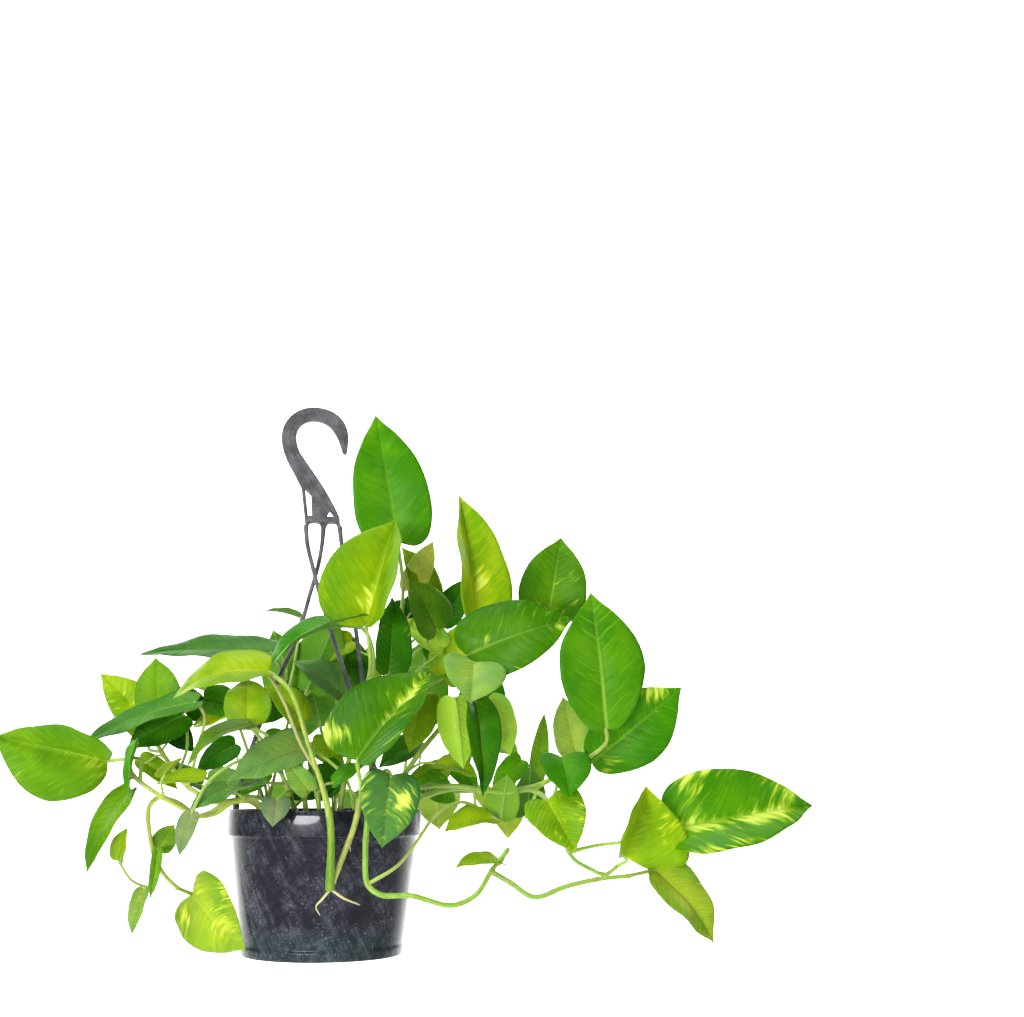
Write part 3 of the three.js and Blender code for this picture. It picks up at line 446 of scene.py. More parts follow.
def blade(patch, leaf, seed, tone, cream, vein, *spots):
    """Adds one leaf blade: a curved upper and lower sheet that meet in a thin margin.

    Each spot is a place with more cream: side, from and to along the blade, then across it.
    """
    base, tip, face, wide, left, right, arch, wave, r = leaf[:9]
    slim = leaf[10] if len(leaf) > 10 else 0
    wide /= HEART_WIDE
    base = np.array(base, float)
    L = np.linalg.norm(tip - base)
    a = (tip - base) / L
    n = unit(face - np.dot(face, a) * a)
    s = np.cross(a, n)
    m, e, w, row = OUTLINE.T
    low, high = np.maximum(1 - m / WIDEST, 0), np.sin(math.pi * clamp((m - WIDEST) / (1 - WIDEST)))
    e, w = e + slim * (m - e), w * (1 - slim * (0.7 * low - 0.15 * high))
    half = w * wide * L
    lift = arch * L * 4 * m * (1 - m)
    middle = base + np.outer(m * L, a) + np.outer(lift, n)
    sheet, place = np.zeros((2, ROWS + 1, ACROSS, 3))
    local = np.random.default_rng(int(seed * 17 + 3 + abs(base[0]) * 5))
    phase = local.uniform(0, 6.28, 4)
    for j in range(ACROSS):
        side, q = -1 if j < HALF else 1, abs(j - HALF) / HALF
        fold = math.radians(left if side < 0 else right)
        ripple = wave * L * np.sin(row * 2.1 + seed * 1.7 + side) * clamp(w / 0.12)
        margin = base + np.outer(e * L, a) + side * np.outer(half * math.cos(fold), s)
        margin += np.outer(lift + half * math.sin(fold) + ripple, n)
        out = -math.sin(fold) * side * s + math.cos(fold) * n  # normal of this half
        # the half is a little domed, dips to the midrib and is quilted between the veins
        x, y = q * w * wide, q * e + (1 - q) * m
        k = y - 0.55 * x - 0.9 * x**2
        dome = DOME * half * math.sin(math.pi * q**0.8) * (1 if fold < 1 else 0.6)
        beat = np.cos(TAU * (k * VEINS + 0.25 * np.sin(k * 23.0 + phase[2])))
        quilt = -QUILT * L * beat * math.sin(math.pi * min(1, q * 1.15))
        frill = FRILL * L * q**3 * np.sin(row * 3.7 + phase[0] + side * phase[1])
        sheet[:, j] = middle + (margin - middle) * q + np.outer(dome + (quilt + frill) * clamp(w / 0.2), out)
        place[:, j] = np.c_[side * x, y, k]
    nor = np.cross(np.gradient(sheet, axis=0), np.gradient(sheet, axis=1))
    nor[0], nor[-1] = nor[1], nor[-2]
    nor = unit(nor)
    mid = ROWS // 2
    if nor[mid, HALF] @ n < 0:
        nor = -nor
    # half the blade's thickness, thinner at its edges, and the rib's ridge below it
    q = np.abs(np.arange(-HALF, HALF + 1)) / HALF
    thick = np.tile(0.24 + 0.12 * (1 - q), (ROWS + 1, 1))
    thick[:, [0, -1]] = 0.12
    thick[[0, -1]] = 0.16
    ridge = np.outer(r * 0.75 * (1 - 0.85 * m), np.exp(-((q * HALF) ** 2) / 0.5))
    top = sheet + nor * (thick - 0.175 * ridge)[..., None]
    low = sheet - nor * (thick + ridge)[..., None]

    on, beside = sheet[mid + 1, HALF] - sheet[mid, HALF], sheet[mid, HALF + 1] - sheet[mid, HALF]
    way = 1 if np.cross(on, beside) @ nor[mid, HALF] > 0 else -1
    foot, point = HALF, ROWS * ACROSS + HALF
    faces = []
    for i in range(ROWS):
        for v in range(i * ACROSS, i * ACROSS + ACROSS - 1):
            f = [v, v + ACROSS, v + ACROSS + 1, v + 1]
            if i == 0:
                f = [foot, v + ACROSS, v + ACROSS + 1]
            if i == ROWS - 1:
                f = [v, point, v + 1]
            faces.append(f[::way])
    faces += [[v + POINTS for v in f[::-1]] for f in faces]
    loop = [foot, *range(ACROSS, ROWS * ACROSS, ACROSS), point, *range(ROWS * ACROSS - 1, ACROSS, -ACROSS)]
    faces += [[p, p2, p2 + POINTS, p + POINTS][::-way] for p, p2 in zip(loop, loop[1:] + loop[:1])]

    place = np.tile(place.reshape(-1, 3), (2, 1))
    look = np.tile([cream, vein, 0.0], (2 * POINTS, 1))
    for side, a0, a1, x0, x1 in spots:
        x, y = side * place[:, 0], place[:, 1]
        out = np.maximum.reduce([a0 - y, y - a1, x0 - x, x - x1])
        look[:, 0] = np.maximum(look[:, 0], cream + 0.85 * clamp(0.5 - out / 0.16))
    look[POINTS:, 2] = 1.0
    # only the vertices that the faces use
    used = np.unique(np.concatenate(faces))
    new = np.zeros(2 * POINTS, int)
    new[used] = np.arange(len(used))
    co = np.concatenate([top.reshape(-1, 3), low.reshape(-1, 3)])
    tint = tone * local.uniform(0.93, 1.07, 3)
    patch.add(co[used], [new[f] for f in faces], place=place[used], look=look[used], tone=tint, seed=local.uniform(0, 90))


# ---- the vines -----------------------------------------------------------
# Each vine: stems as [radius, points], the first from its place in the soil, and leaves as
# [base, tip, face, wide, left, right, arch, wave, stalk radius, stalk points, slimness if any].
VINES = {
  "vine_01": ([
    [2.4, [[22,-48], [24,-64,114], [24,-80,112], [21,-87,98], [13,-90,76], [5,-92,54]]],
    [1.0, [[5,-92,54], [14,-95,48], [26,-93,43]]],
    [1.0, [[5,-92,54], [-1,-94,47], [-5,-92,42], [-2,-93,36]]],
  ], [
    [[-44,-85,207], [-112,-74,188], [0.1,-0.6,0.8], 0.62, 12, 10, 0.14, 0.01, 3.0,
      [[5,-92,53], [3,-102,104], [-13,-101,154], [-28,-94,194]]],
    [[22,-86,144], [77,-62,211], [-0.3,-0.93,0.2], 0.86, 4, 48, 0.05, 0.012, 1.8, [[24,-78,113], [25,-90,124]]],
    [[-14,-58,154], [-70,-66,129], [0.2,-0.7,0.7], 0.62, 15, 10, 0.08, 0.015, 1.5, [[22,-50,103], [14,-56,132]]],
    [[46,-96,133], [40,-109,83], [0.15,-0.95,0.15], 0.84, 10, 12, 0.06, 0.012, 1.5, [[24,-70,114], [33,-82,126], [43,-92,137]]],
  ]),
  "vine_02": ([
    [2.2, [[36,-44], [34,-64,114], [32,-79,112], [30,-86,99], [29,-90,78], [31,-91,57], [40,-93,50], [62,-93,49], [91,-92,42],
      [109,-88,49], [121,-84,66], [134,-78,81]]],
    [2.0, [[119,-85,66], [134,-87,57], [151,-89,47], [174,-88,54], [199,-85,59], [226,-80,61]]],
    [1.9, [[36,-44,99], [48,-42,114], [68,-47,124], [94,-56,126], [130,-58,121], [157,-50,122], [169,-54,111], [176,-59,90],
      [184,-62,73], [197,-63,65], [208,-63,61], [218,-62,67]]],
  ], [
    [[131,-50,101], [134,-68,134], [0,0.85,0.5], 0.72, 10, 10, 0.04, 0.01, 1.4,
      [[31,-91,57], [52,-93,70], [64,-90,84], [80,-82,105], [100,-70,114]]],
    [[122,-68,100], [86,-84,93], [0,-0.5,0.86], 0.78, 20, 16, 0.1, 0.02, 1.3, [[104,-69,99], [114,-66,101]]],
    [[127,-80,70], [93,-96,68], [0,-0.4,0.9], 0.6, 10, 10, 0.12, 0.01, 1.4, [[134,-78,77]]],
    [[166,-56,115], [182,-85,78], [-0.25,-0.7,0.7], 0.95, 18, 22, 0.05, 0.02, 1.5, [[158,-50,121], [162,-52,120]]],
    [[177,-56,147], [179,-78,117], [0.05,-0.9,0.5], 1.1, 16, 16, 0.1, 0.01, 1.6, [[167,-55,109], [174,-50,126]]],
    [[220,-74,75], [238,-74,126], [0,-0.98,0.1], 1.7, 74, 0, 0.04, 0.01, 1.5, [[218,-62,67], [224,-66,71]]],
    [[262,-60,93], [371,-62,111], [0.05,-0.95,0.3], 0.7, 8, 42, 0.06, 0.008, 1.6, [[181,-61,77], [202,-62,82], [226,-63,85]]],
    [[243,-76,64], [286,-78,12], [0.35,-0.8,0.5], 0.62, 14, 12, 0.1, 0.02, 1.7, [[222,-81,61]]],
  ]),
  "vine_03": ([
    [2.3, [[56,-14], [70,-22,115], [98,-34,124], [128,-40,122], [160,-44,126], [188,-40,141], [200,-32,145]]],
  ], [
    [[206,-24,144], [275,-42,202], [-0.15,-0.95,-0.1], 0.65, 14, 4, 0.05, 0.01, 1.7, [[197,-34,144]], 0.6],
    [[213,-48,169], [201,-54,274], [0.05,-1,0.1], 0.66, 8, 8, 0.05, 0.01, 1.8,
      [[186,-41,140], [202,-48,149], [213,-50,159]], 0.62],
    [[217,22,150], [206,60,186], [0,-0.7,0.7], 0.66, 10, 10, 0.05, 0.01, 1.4, [[193,-38,142], [200,-26,154], [209,2,156]]],
    [[157,-6,104], [162,8,142], [0.3,0.9,0.2], 0.7, 14, 14, 0.06, 0.01, 1.4, [[160,-44,126], [158,-30,112], [155,-14,102]]],
  ]),
  "vine_04": ([
    [2.2, [[40,-16], [52,-20,122], [72,-26,152], [92,-30,176], [105,-33,191], [112,-30,210], [116,-18,230]]],
  ], [
    [[110,-56,218], [104,-86,186], [0.05,-1,0.15], 1.12, 12, 12, 0.04, 0.01, 1.5, [[104,-33,190], [110,-46,210]]],
    [[94,-72,190], [100,-80,138], [-0.1,1,0.1], 0.56, 10, 10, 0.05, 0.01, 1.4, [[104,-33,190], [98,-52,186], [94,-64,190]]],
    [[110,-66,188], [114,-84,118], [0.4,-0.9,-0.1], 0.43, 24, 24, 0.05, 0.02, 1.4,
      [[104,-33,190], [109,-50,184], [110,-60,187]]],
    [[122,-40,192], [138,-52,148], [0.35,-0.85,0.4], 0.58, 14, 8, 0.1, 0.015, 1.4, [[106,-33,193], [112,-36,199]]],
    [[106,-38,225], [187,-54,253], [0.05,-0.92,0.35], 0.7, 10, 8, 0.07, 0.015, 1.6, [[108,-32,198], [104,-38,212]]],
    [[117,8,253], [102,0,360], [0.2,-0.98,0], 0.58, 55, 5, 0.08, 0.02, 1.7, [[116,-18,230], [118,-2,244]]],
    [[184,50,268], [194,44,334], [-0.1,-1,0.1], 0.87, 12, 12, 0.05, 0.01, 1.6, [[115,-20,227], [138,14,240], [168,40,253]]],
    [[84,-44,142], [113,-60,132], [0,-0.6,0.8], 0.6, 14, 14, 0.08, 0.02, 1.1, [[60,-22,136], [72,-34,143]]],
  ]),
  "vine_05": ([
    [2.2, [[10,-24], [14,-28,130], [20,-32,160], [26,-36,190]]],
  ], [
    [[24,-44,245], [-47,-72,206], [-0.3,-0.35,0.9], 0.52, 22, 14, 0.16, 0.01, 1.5, [[26,-36,189], [34,-40,214], [31,-42,236]]],
    [[27,-60,245], [49,-44,330], [0.05,-1,0.15], 0.95, 4, 75, 0.04, 0.01, 1.6, [[26,-36,190], [31,-52,214], [29,-60,234]]],
    [[46,-30,212], [48,-22,272], [0.4,-0.9,0.2], 0.55, 20, 20, 0.04, 0.01, 1.4, [[24,-34,176], [38,-32,190]]],
    [[12,-34,192], [-28,-28,220], [0.1,-0.6,0.8], 0.72, 14, 14, 0.08, 0.01, 1.4, [[19,-31,155], [16,-34,176]]],
    [[70,-48,195], [61,-60,150], [0.3,-0.9,0.2], 0.66, 12, 12, 0.06, 0.015, 1.3, [[24,-35,178], [46,-44,190], [62,-46,198]]],
  ]),
  "vine_06": ([
    [2.2, [[26,12], [36,16,140], [50,16,200], [57,12,250]]],
  ], [
    [[53,5,321], [33,0,425], [0.05,-1,0.05], 0.6, 12, 12, 0.04, 0.008, 1.8, [[57,12,249], [58,9,284]]],
    [[86,10,250], [62,-4,288], [0,-0.8,0.6], 0.85, 10, 10, 0.06, 0.01, 1.4, [[52,15,210], [70,16,232]]],
    [[64,34,285], [84,34,327], [0.2,-0.95,0], 0.5, 10, 10, 0.03, 0.01, 1.3, [[55,14,235], [70,28,246]]],
    [[94,30,214], [134,26,262], [-0.2,-0.9,0.3], 0.7, 12, 12, 0.05, 0.01, 1.4, [[45,16,180], [72,26,200]]],
    [[92,22,236], [54,22,258], [0.1,-0.75,0.65], 0.75, 12, 12, 0.06, 0.01, 1.3, [[50,16,198], [74,28,220]]],
  ]),
  "vine_07": ([
    [2.2, [[-14,-4], [-22,2,150], [-34,8,205]]],
  ], [
    [[-45,8,229], [-150,18,228], [0,-0.42,0.9], 0.52, 8, 8, 0.03, 0.008, 1.7, [[-34,8,202], [-38,9,219]]],
    [[-60,-32,172], [-64,10,209], [0,-0.62,0.78], 0.64, 8, 8, 0.06, 0.01, 1.5, [[-20,0,138], [-40,-22,152]]],
    [[-24,36,262], [-52,38,267], [0.3,0,1], 0.6, 20, 20, 0.05, 0.01, 1.4, [[-32,8,196], [-28,24,220]]],
    [[-16,24,204], [6,34,264], [0,0.9,0.3], 0.66, 8, 8, 0.05, 0.01, 1.4, [[-26,4,172], [-20,16,192]]],
  ]),
  "vine_08": ([
    [2.0, [[-42,-30], [-52,-36,113], [-68,-45,114], [-80,-48,106], [-93,-46,104], [-106,-43,110], [-129,-49,124],
      [-141,-50,134], [-145,-47,144]]],
  ], [
    [[-161,-40,144], [-241,-58,161], [0,-0.97,0.2], 0.92, 2, 75, 0.05, 0.012, 1.6,
      [[-128,-45,139], [-137,-47,145], [-150,-43,145]], 0.5],
    [[-143,-44,122], [-169,-56,64], [-0.5,-0.8,0.3], 0.37, 10, 10, 0.12, 0.01, 1.4, [[-140,-50,133], [-146,-46,128]]],
    [[-138,-56,157], [-141,-62,118], [-0.9,-0.4,0], 0.5, 20, 20, 0.06, 0.01, 1.2, [[-144,-48,143], [-141,-52,152]]],
    [[-118,-56,133], [-104,-72,146], [0.3,-0.5,0.8], 0.8, 10, 10, 0.05, 0.01, 1.2, [[-118,-46,117], [-120,-52,127]]],
    [[-72,-54,123], [-98,-62,109], [0,-0.75,0.6], 0.6, 10, 10, 0.08, 0.015, 1.1, [[-60,-40,114], [-66,-49,121]]],
  ]),
  "vine_09": ([
    [2.1, [[-40,2], [-52,-8,113], [-68,-17,115], [-82,-21,114], [-92,-20,118], [-106,-15,127], [-126,-8,152], [-138,-2,172]]],
  ], [
    [[-129,0,182], [-134,-3,224], [-0.1,-0.92,0.35], 0.85, 8, 8, 0.05, 0.01, 1.5, [[-138,-2,171]]],
    [[-130,24,168], [-179,20,213], [0,-1,0.1], 0.55, 8, 8, 0.05, 0.01, 1.5, [[-126,-8,151], [-138,12,155]]],
    [[-100,-26,188], [-185,-26,154], [-0.15,-0.55,0.8], 0.35, 8, 8, 0.06, 0.01, 1.5,
      [[-104,-16,125], [-97,-22,156], [-93,-25,178]]],
    [[-111,0,180], [-151,-12,154], [0,-0.9,0.35], 0.64, 6, 6, 0.06, 0.01, 1.4, [[-112,-12,134], [-107,-4,156]]],
    [[-90,-34,132], [-125,-40,127], [0,-0.6,0.8], 0.5, 10, 10, 0.08, 0.015, 1.1, [[-84,-21,115], [-85,-28,127]]],
  ]),
  "vine_10": ([
    [2.0, [[-42,-15], [-56,-24,114], [-74,-31,114], [-84,-32,107], [-96,-28,104], [-109,-29,113], [-124,-30,117],
      [-131,-26,110], [-130,-21,89], [-126,-20,74], [-120,-16,62], [-109,-4,49]]],
    [1.7, [[-126,-22,75], [-128,-20,62], [-129,-18,50]]],
  ], [
    [[-100,12,44], [-56,-34,7], [0.45,-0.75,-0.45], 0.7, 8, 8, 0.04, 0.012, 1.6, [[-110,-5,50]]],
    [[-150,-34,72], [-143,-48,96], [-0.5,-0.8,0.1], 0.6, 20, 20, 0.05, 0.01, 1.1, [[-129,-18,51], [-141,-26,57]]],
    [[-132,-20,50], [-139,-26,18], [-0.5,-0.8,-0.1], 0.46, 20, 20, 0.05, 0.01, 1.3, [[-129,-18,52]]],
    [[-124,-14,79], [-114,-8,97], [0.2,-0.95,0.1], 0.85, 10, 10, 0.05, 0.01, 1.2, [[-127,-22,78]]],
    [[-123,-32,80], [-126,-38,44], [0.3,-0.9,0], 0.25, 20, 20, 0.05, 0.01, 1.2, [[-127,-22,78]]],
  ]),
  "vine_11": ([
    [2.1, [[-20,-38], [-28,-42,122], [-38,-44,146]]],
  ], [
    [[-56,-46,168], [-101,-64,139], [-0.5,-0.55,0.65], 0.42, 14, 14, 0.18, 0.01, 1.5, [[-38,-44,145], [-44,-45,162]]],
    [[-96,-66,106], [-102,-82,77], [-0.2,-0.9,0.4], 0.45, 10, 10, 0.06, 0.01, 1.5,
      [[-34,-43,136], [-56,-54,146], [-84,-63,130]]],
    [[-35,-66,116], [-37,-88,97], [0,-0.55,0.85], 0.75, 8, 8, 0.06, 0.01, 1.3, [[-26,-41,116], [-26,-54,123]]],
    [[-46,-60,128], [-72,-74,118], [-0.2,-0.3,0.9], 0.55, 8, 8, 0.06, 0.01, 1.3, [[-30,-43,128]]],
    [[-12,-56,122], [-32,-66,146], [-0.4,-0.8,0.5], 0.55, 12, 12, 0.06, 0.02, 1.1, [[-23,-40,110], [-16,-50,117]]],
  ]),
  "vine_12": ([
    [2.2, [[38,30], [58,46,115], [88,60,120], [126,64,122], [156,62,124]]],
  ], [
    [[174,62,130], [181,58,187], [0,-0.95,0.2], 0.27, 12, 12, 0.05, 0.01, 1.5, [[155,62,124]]],
    [[112,92,166], [168,118,150], [0.3,0.4,0.85], 0.75, 10, 10, 0.08, 0.01, 1.6, [[90,60,120], [102,80,150]]],
    [[70,84,184], [88,112,256], [0.1,0.9,0.3], 0.72, 10, 10, 0.06, 0.01, 1.6, [[60,47,116], [66,70,148]]],
    [[140,96,122], [160,136,80], [0.4,0.6,0.6], 0.75, 10, 10, 0.08, 0.01, 1.5, [[124,64,122], [134,84,128]]],
    [[92,96,118], [100,144,88], [0,0.6,0.8], 0.75, 10, 10, 0.08, 0.01, 1.5, [[90,60,120], [92,80,124]]],
    [[128,72,172], [130,64,236], [0,-0.95,0.2], 0.66, 10, 10, 0.05, 0.01, 1.5, [[108,63,122], [120,70,150]]],
  ]),
  "vine_13": ([
    [2.2, [[6,40], [8,60,114], [8,80,113], [4,90,96], [2,93,64], [4,92,38]]],
  ], [
    [[-6,92,176], [-22,116,240], [0,0.9,0.35], 0.75, 10, 10, 0.06, 0.01, 1.6, [[8,60,113], [0,82,148]]],
    [[24,116,120], [40,154,80], [0.2,0.7,0.7], 0.75, 10, 10, 0.08, 0.01, 1.5, [[8,80,112], [16,100,122]]],
    [[-24,110,66], [-42,116,16], [-0.2,0.95,0.2], 0.8, 10, 10, 0.06, 0.01, 1.5, [[2,93,66], [-12,106,72]]],
    [[12,104,44], [26,110,4], [0.2,0.95,0.2], 0.8, 10, 10, 0.06, 0.01, 1.4, [[4,92,40]]],
    [[24,88,190], [34,114,246], [0.1,0.85,0.5], 0.66, 10, 10, 0.06, 0.01, 1.5, [[8,62,114], [20,78,158]]],
    [[-22,104,124], [-50,134,96], [-0.2,0.6,0.8], 0.75, 10, 10, 0.08, 0.01, 1.4, [[8,78,113], [-6,94,124]]],
  ]),
  "vine_14": ([
    [2.2, [[-30,28], [-46,44,114], [-64,58,118], [-84,66,122]]],
  ], [
    [[-60,70,178], [-108,84,206], [-0.2,0.4,0.9], 0.7, 10, 10, 0.08, 0.01, 1.6, [[-46,44,113], [-54,60,148]]],
    [[-74,92,138], [-90,136,116], [-0.2,0.5,0.85], 0.75, 10, 10, 0.08, 0.01, 1.5, [[-64,58,117], [-70,76,136]]],
    [[-102,64,126], [-134,58,142], [0,-0.5,0.85], 0.7, 10, 10, 0.08, 0.01, 1.4, [[-83,66,122]]],
    [[-78,40,188], [-108,48,172], [0,-0.7,0.7], 0.8, 10, 10, 0.08, 0.01, 1.5, [[-50,48,115], [-62,44,150]]],
    [[-28,66,200], [-48,82,256], [-0.1,0.9,0.35], 0.72, 10, 10, 0.05, 0.01, 1.5, [[-46,44,113], [-36,56,160]]],
  ]),
  "vine_15": ([
    [2.1, [[-4,-48], [-6,-50,118], [-12,-46,140], [-14,-40,158]]],
  ], [
    [[-18,-38,174], [-48,-50,200], [0.1,-0.8,0.6], 0.72, 12, 12, 0.07, 0.015, 1.3, [[-14,-40,156]]],
    [[6,-62,128], [29,-72,141], [0,-0.7,0.7], 0.6, 12, 12, 0.06, 0.02, 1.1, [[-6,-50,120], [0,-57,127]]],
  ]),
}
# Leaf colours, linear. Straw and fresh are paler tones that paint light onto leaves lying in shade, and glow paints
# light shining through a leaf from behind.
TONES = {
    "straw": (0.62, 0.66, 0.15), "yellow": (0.33, 0.5, 0.004), "gold": (0.26, 0.44, 0.004), "sun": (0.2, 0.38, 0.02),
    "fresh": (0.36, 0.62, 0.05), "glow": (0.22, 0.47, 0.014), "lime": (0.18, 0.335, 0.004), "khaki": (0.165, 0.3, 0.003),
    "leafy": (0.115, 0.285, 0.006), "fern": (0.1, 0.27, 0.01), "bright": (0.09, 0.3, 0.003), "herb": (0.07, 0.205, 0.002),
    "mid": (0.054, 0.225, 0.002), "green": (0.04, 0.19, 0.001), "rich": (0.04, 0.16, 0.001), "deep": (0.024, 0.135, 0.002),
    "dark": (0.012, 0.078, 0.003), "olive": (0.075, 0.19, 0.008), "drab": (0.048, 0.18, 0.02),
    "blue": (0.055, 0.175, 0.03), "grey": (0.08, 0.19, 0.035), "sage": (0.14, 0.22, 0.085), "ash": (0.115, 0.25, 0.045),
    "ashen": (0.21, 0.36, 0.05), "moss": (0.2, 0.37, 0.02),
}
# For each leaf: tone, share of cream flecks, strength of the veins, then its spots.
LOOKS = {
    "vine_01": [
        ("lime", 0.1, 0.5), ("rich", 0.4, 0.4, (-1, -0.1, 0.13, 0.18, 0.5), (1, 0.35, 0.8, 0.0, 0.12)), ("ash", 0.05, 0.3),
        ("blue", 0.4, 0.3, (-1, 0.22, 0.42, 0.14, 0.3), (1, 0.4, 0.62, 0.02, 0.06)),
    ],
    "vine_02": [
        ("fern", 0.0, 0.3), ("lime", 0.1, 0.3), ("lime", 0.0, 0.3), ("lime", 0.35, 0.4), ("green", 0.0, 0.3),
        ("gold", 0.35, 0.4), ("mid", 0.55, 0.6, (1, 0.1, 0.75, 0.02, 0.12)), ("moss", 0.35, 0.7),
    ],
    "vine_03": [("green", 0.25, 0.7, (-1, 0.72, 1.0, 0.0, 0.2)), ("mid", 0.05, 1.0), ("ash", 0.1, 0.3), ("deep", 0.0, 0.3)],
    "vine_04": [
        # glow paints light shining through the second leaf from behind; fresh paints light onto the fourth, which lies
        # in shade
        ("ashen", 0.0, 0.2), ("glow", 0.0, 0.2), ("deep", 0.1, 0.3), ("fresh", 0.0, 0.4),
        ("rich", 0.3, 0.6, (-1, 0.06, 0.26, 0.04, 0.18)), ("gold", 0.15, 0.4, (1, 0.25, 0.45, 0.02, 0.12)), ("herb", 0.4, 0.7),
        ("khaki", 0.3, 0.3),
    ],
    "vine_05": [
        ("green", 0.05, 0.3), ("khaki", 0.25, 0.4, (-1, 0.16, 0.42, 0.03, 0.12)), ("deep", 0.1, 0.3), ("grey", 0.1, 0.3),
        ("lime", 0.0, 0.3),
    ],
    # straw and fresh paint light onto leaves that lie in shade; straw's leaf also has cream flecks of its own
    "vine_06": [("mid", 0.0, 0.15), ("olive", 0.1, 0.3), ("straw", 0.5, 0.3), ("gold", 0.55, 0.4), ("fresh", 0.1, 0.3)],
    "vine_07": [("deep", 0.05, 0.3), ("lime", 0.1, 0.3), ("grey", 0.0, 0.3), ("mid", 0.2, 0.4)],
    "vine_08": [("leafy", 0.3, 0.5), ("herb", 0.0, 0.3), ("mid", 0.0, 0.4), ("khaki", 0.1, 0.3), ("grey", 0.0, 0.3)],
    "vine_09": [("leafy", 0.25, 0.3), ("lime", 0.25, 0.2), ("drab", 0.0, 0.3), ("deep", 0.0, 0.3), ("lime", 0.1, 0.3)],
    "vine_10": [("sun", 0.55, 0.5), ("lime", 0.0, 0.2), ("ashen", 0.2, 0.3), ("moss", 0.1, 0.3), ("fern", 0.1, 0.4)],
    "vine_11": [("olive", 0.0, 0.3), ("sage", 0.1, 0.3), ("sage", 0.1, 0.3), ("grey", 0.1, 0.3), ("ashen", 0.2, 0.3)],
    "vine_12": [
        ("fern", 0.1, 0.3), ("bright", 0.4, 0.5), ("mid", 0.2, 0.5), ("lime", 0.2, 0.4), ("lime", 0.3, 0.4), ("mid", 0.1, 0.4),
    ],
    "vine_13": [
        ("mid", 0.2, 0.4), ("green", 0.5, 0.5), ("lime", 0.2, 0.4), ("bright", 0.2, 0.4), ("lime", 0.1, 0.4),
        ("bright", 0.6, 0.5),
    ],
    "vine_14": [("lime", 0.3, 0.5), ("green", 0.3, 0.4), ("deep", 0.1, 0.3), ("yellow", 0.1, 0.4), ("mid", 0.2, 0.4)],
    "vine_15": [("lime", 0.1, 0.4), ("mid", 0.2, 0.3)],
}
# Small leaves deep among the stems, for each vine: base, tip, width, tone, cream. They add leaves to the core; those in
# the dark tone stand for the shade between its leaves, as painted shade.
FILL = {
    "vine_03": [([196,-14,150], [186,-8,196], 0.62, "ashen", 0.3)],
    "vine_06": [
        ([19,58,206], [16,58,252], 0.72, "deep", 0.0), ([18,44,243], [-25,44,222], 0.5, "lime", 0.1),
        ([82,40,278], [58,40,322], 0.6, "lime", 0.0), ([61,52,279], [78,52,246], 0.8, "dark", 0.0),
        ([91,40,260], [116,40,297], 0.6, "deep", 0.1), ([91,44,229], [78,44,263], 0.62, "mid", 0.2),
    ],
    "vine_07": [([-23,48,203], [-53,48,175], 0.7, "deep", 0.0), ([-12,44,161], [16,44,138], 0.55, "lime", 0.0)],
    "vine_09": [
        ([-99,40,194], [-62,40,185], 0.7, "mid", 0.1), ([-102,44,181], [-121,44,205], 0.7, "deep", 0.0),
        ([-132,26,174], [-104,26,152], 0.7, "dark", 0.0), ([-145,18,146], [-115,18,123], 0.5, "lime", 0.2),
    ],
    "vine_12": [
        ([77,46,161], [42,46,140], 0.62, "deep", 0.0), ([97,40,140], [61,40,124], 0.5, "lime", 0.0),
        ([78,26,132], [104,26,112], 0.7, "mid", 0.3), ([102,44,145], [124,44,121], 0.6, "mid", 0.0),
        ([160,46,147], [135,46,121], 0.6, "bright", 0.1),
    ],
    "vine_13": [([11,34,143], [-8,34,112], 0.7, "deep", 0.0), ([3,34,135], [-28,34,115], 0.7, "dark", 0.0)],
    "vine_14": [
        ([-73,40,159], [-103,40,138], 0.6, "deep", 0.0), ([-51,52,164], [-22,52,145], 0.7, "mid", 0.2),
        ([-47,44,137], [-71,44,118], 0.6, "mid", 0.0),
    ],
}
# Slender stalks beside the stems, for each vine: radius, points.
SLENDER = {"vine_01": [(1.4, [[-4, -99, 132], [-18, -98, 154], [-32, -92, 186], [-43, -84, 204], [-50, -78, 209]])]}
STEMS = {
    "vine_01": (0.34, 0.39, 0.08), "vine_02": (0.20, 0.38, 0.03), "vine_08": (0.34, 0.44, 0.06),
    "vine_09": (0.34, 0.44, 0.06), "vine_10": (0.36, 0.46, 0.06),
}
STEM_TONE = (0.21, 0.37, 0.02)  # of every other stem
STALK_TONE, TAN = np.array([0.27, 0.46, 0.035]), np.array([0.30, 0.31, 0.10])
GREEN, PALE = np.array([0.112, 0.250, 0.001]), np.array([0.240, 0.355, 0.032])  # foot and top of the stout stalk
ROOT_TONE = np.array([0.48, 0.46, 0.20])

KNOT_EVERY, KNOT_ROOM, KNOT_LONG = 34, 12, 1.5  # mm between leafless knots, clear of a leaf's, and of a knot
OVER_RIM, OUTSIDE = 98, 80  # height and radius beyond which a stem is clear of the pot

LEAF, STEM = leaf_material(), stem_material()


def shoot(patch, line, radius, sides, seed, tone, knot=0.0):
    """Adds a round shoot; its tone and knots are given once or for each point."""
    co, faces, run, turn = tube(line, radius, sides)
    tone = np.repeat(np.broadcast_to(tone, (len(line), 3)), sides, axis=0)
    knot = np.repeat(np.broadcast_to(knot, len(line)), sides)
    patch.add(co, faces, run=run / 1000, turn=turn, seed=seed, tone=tone, knot=knot)


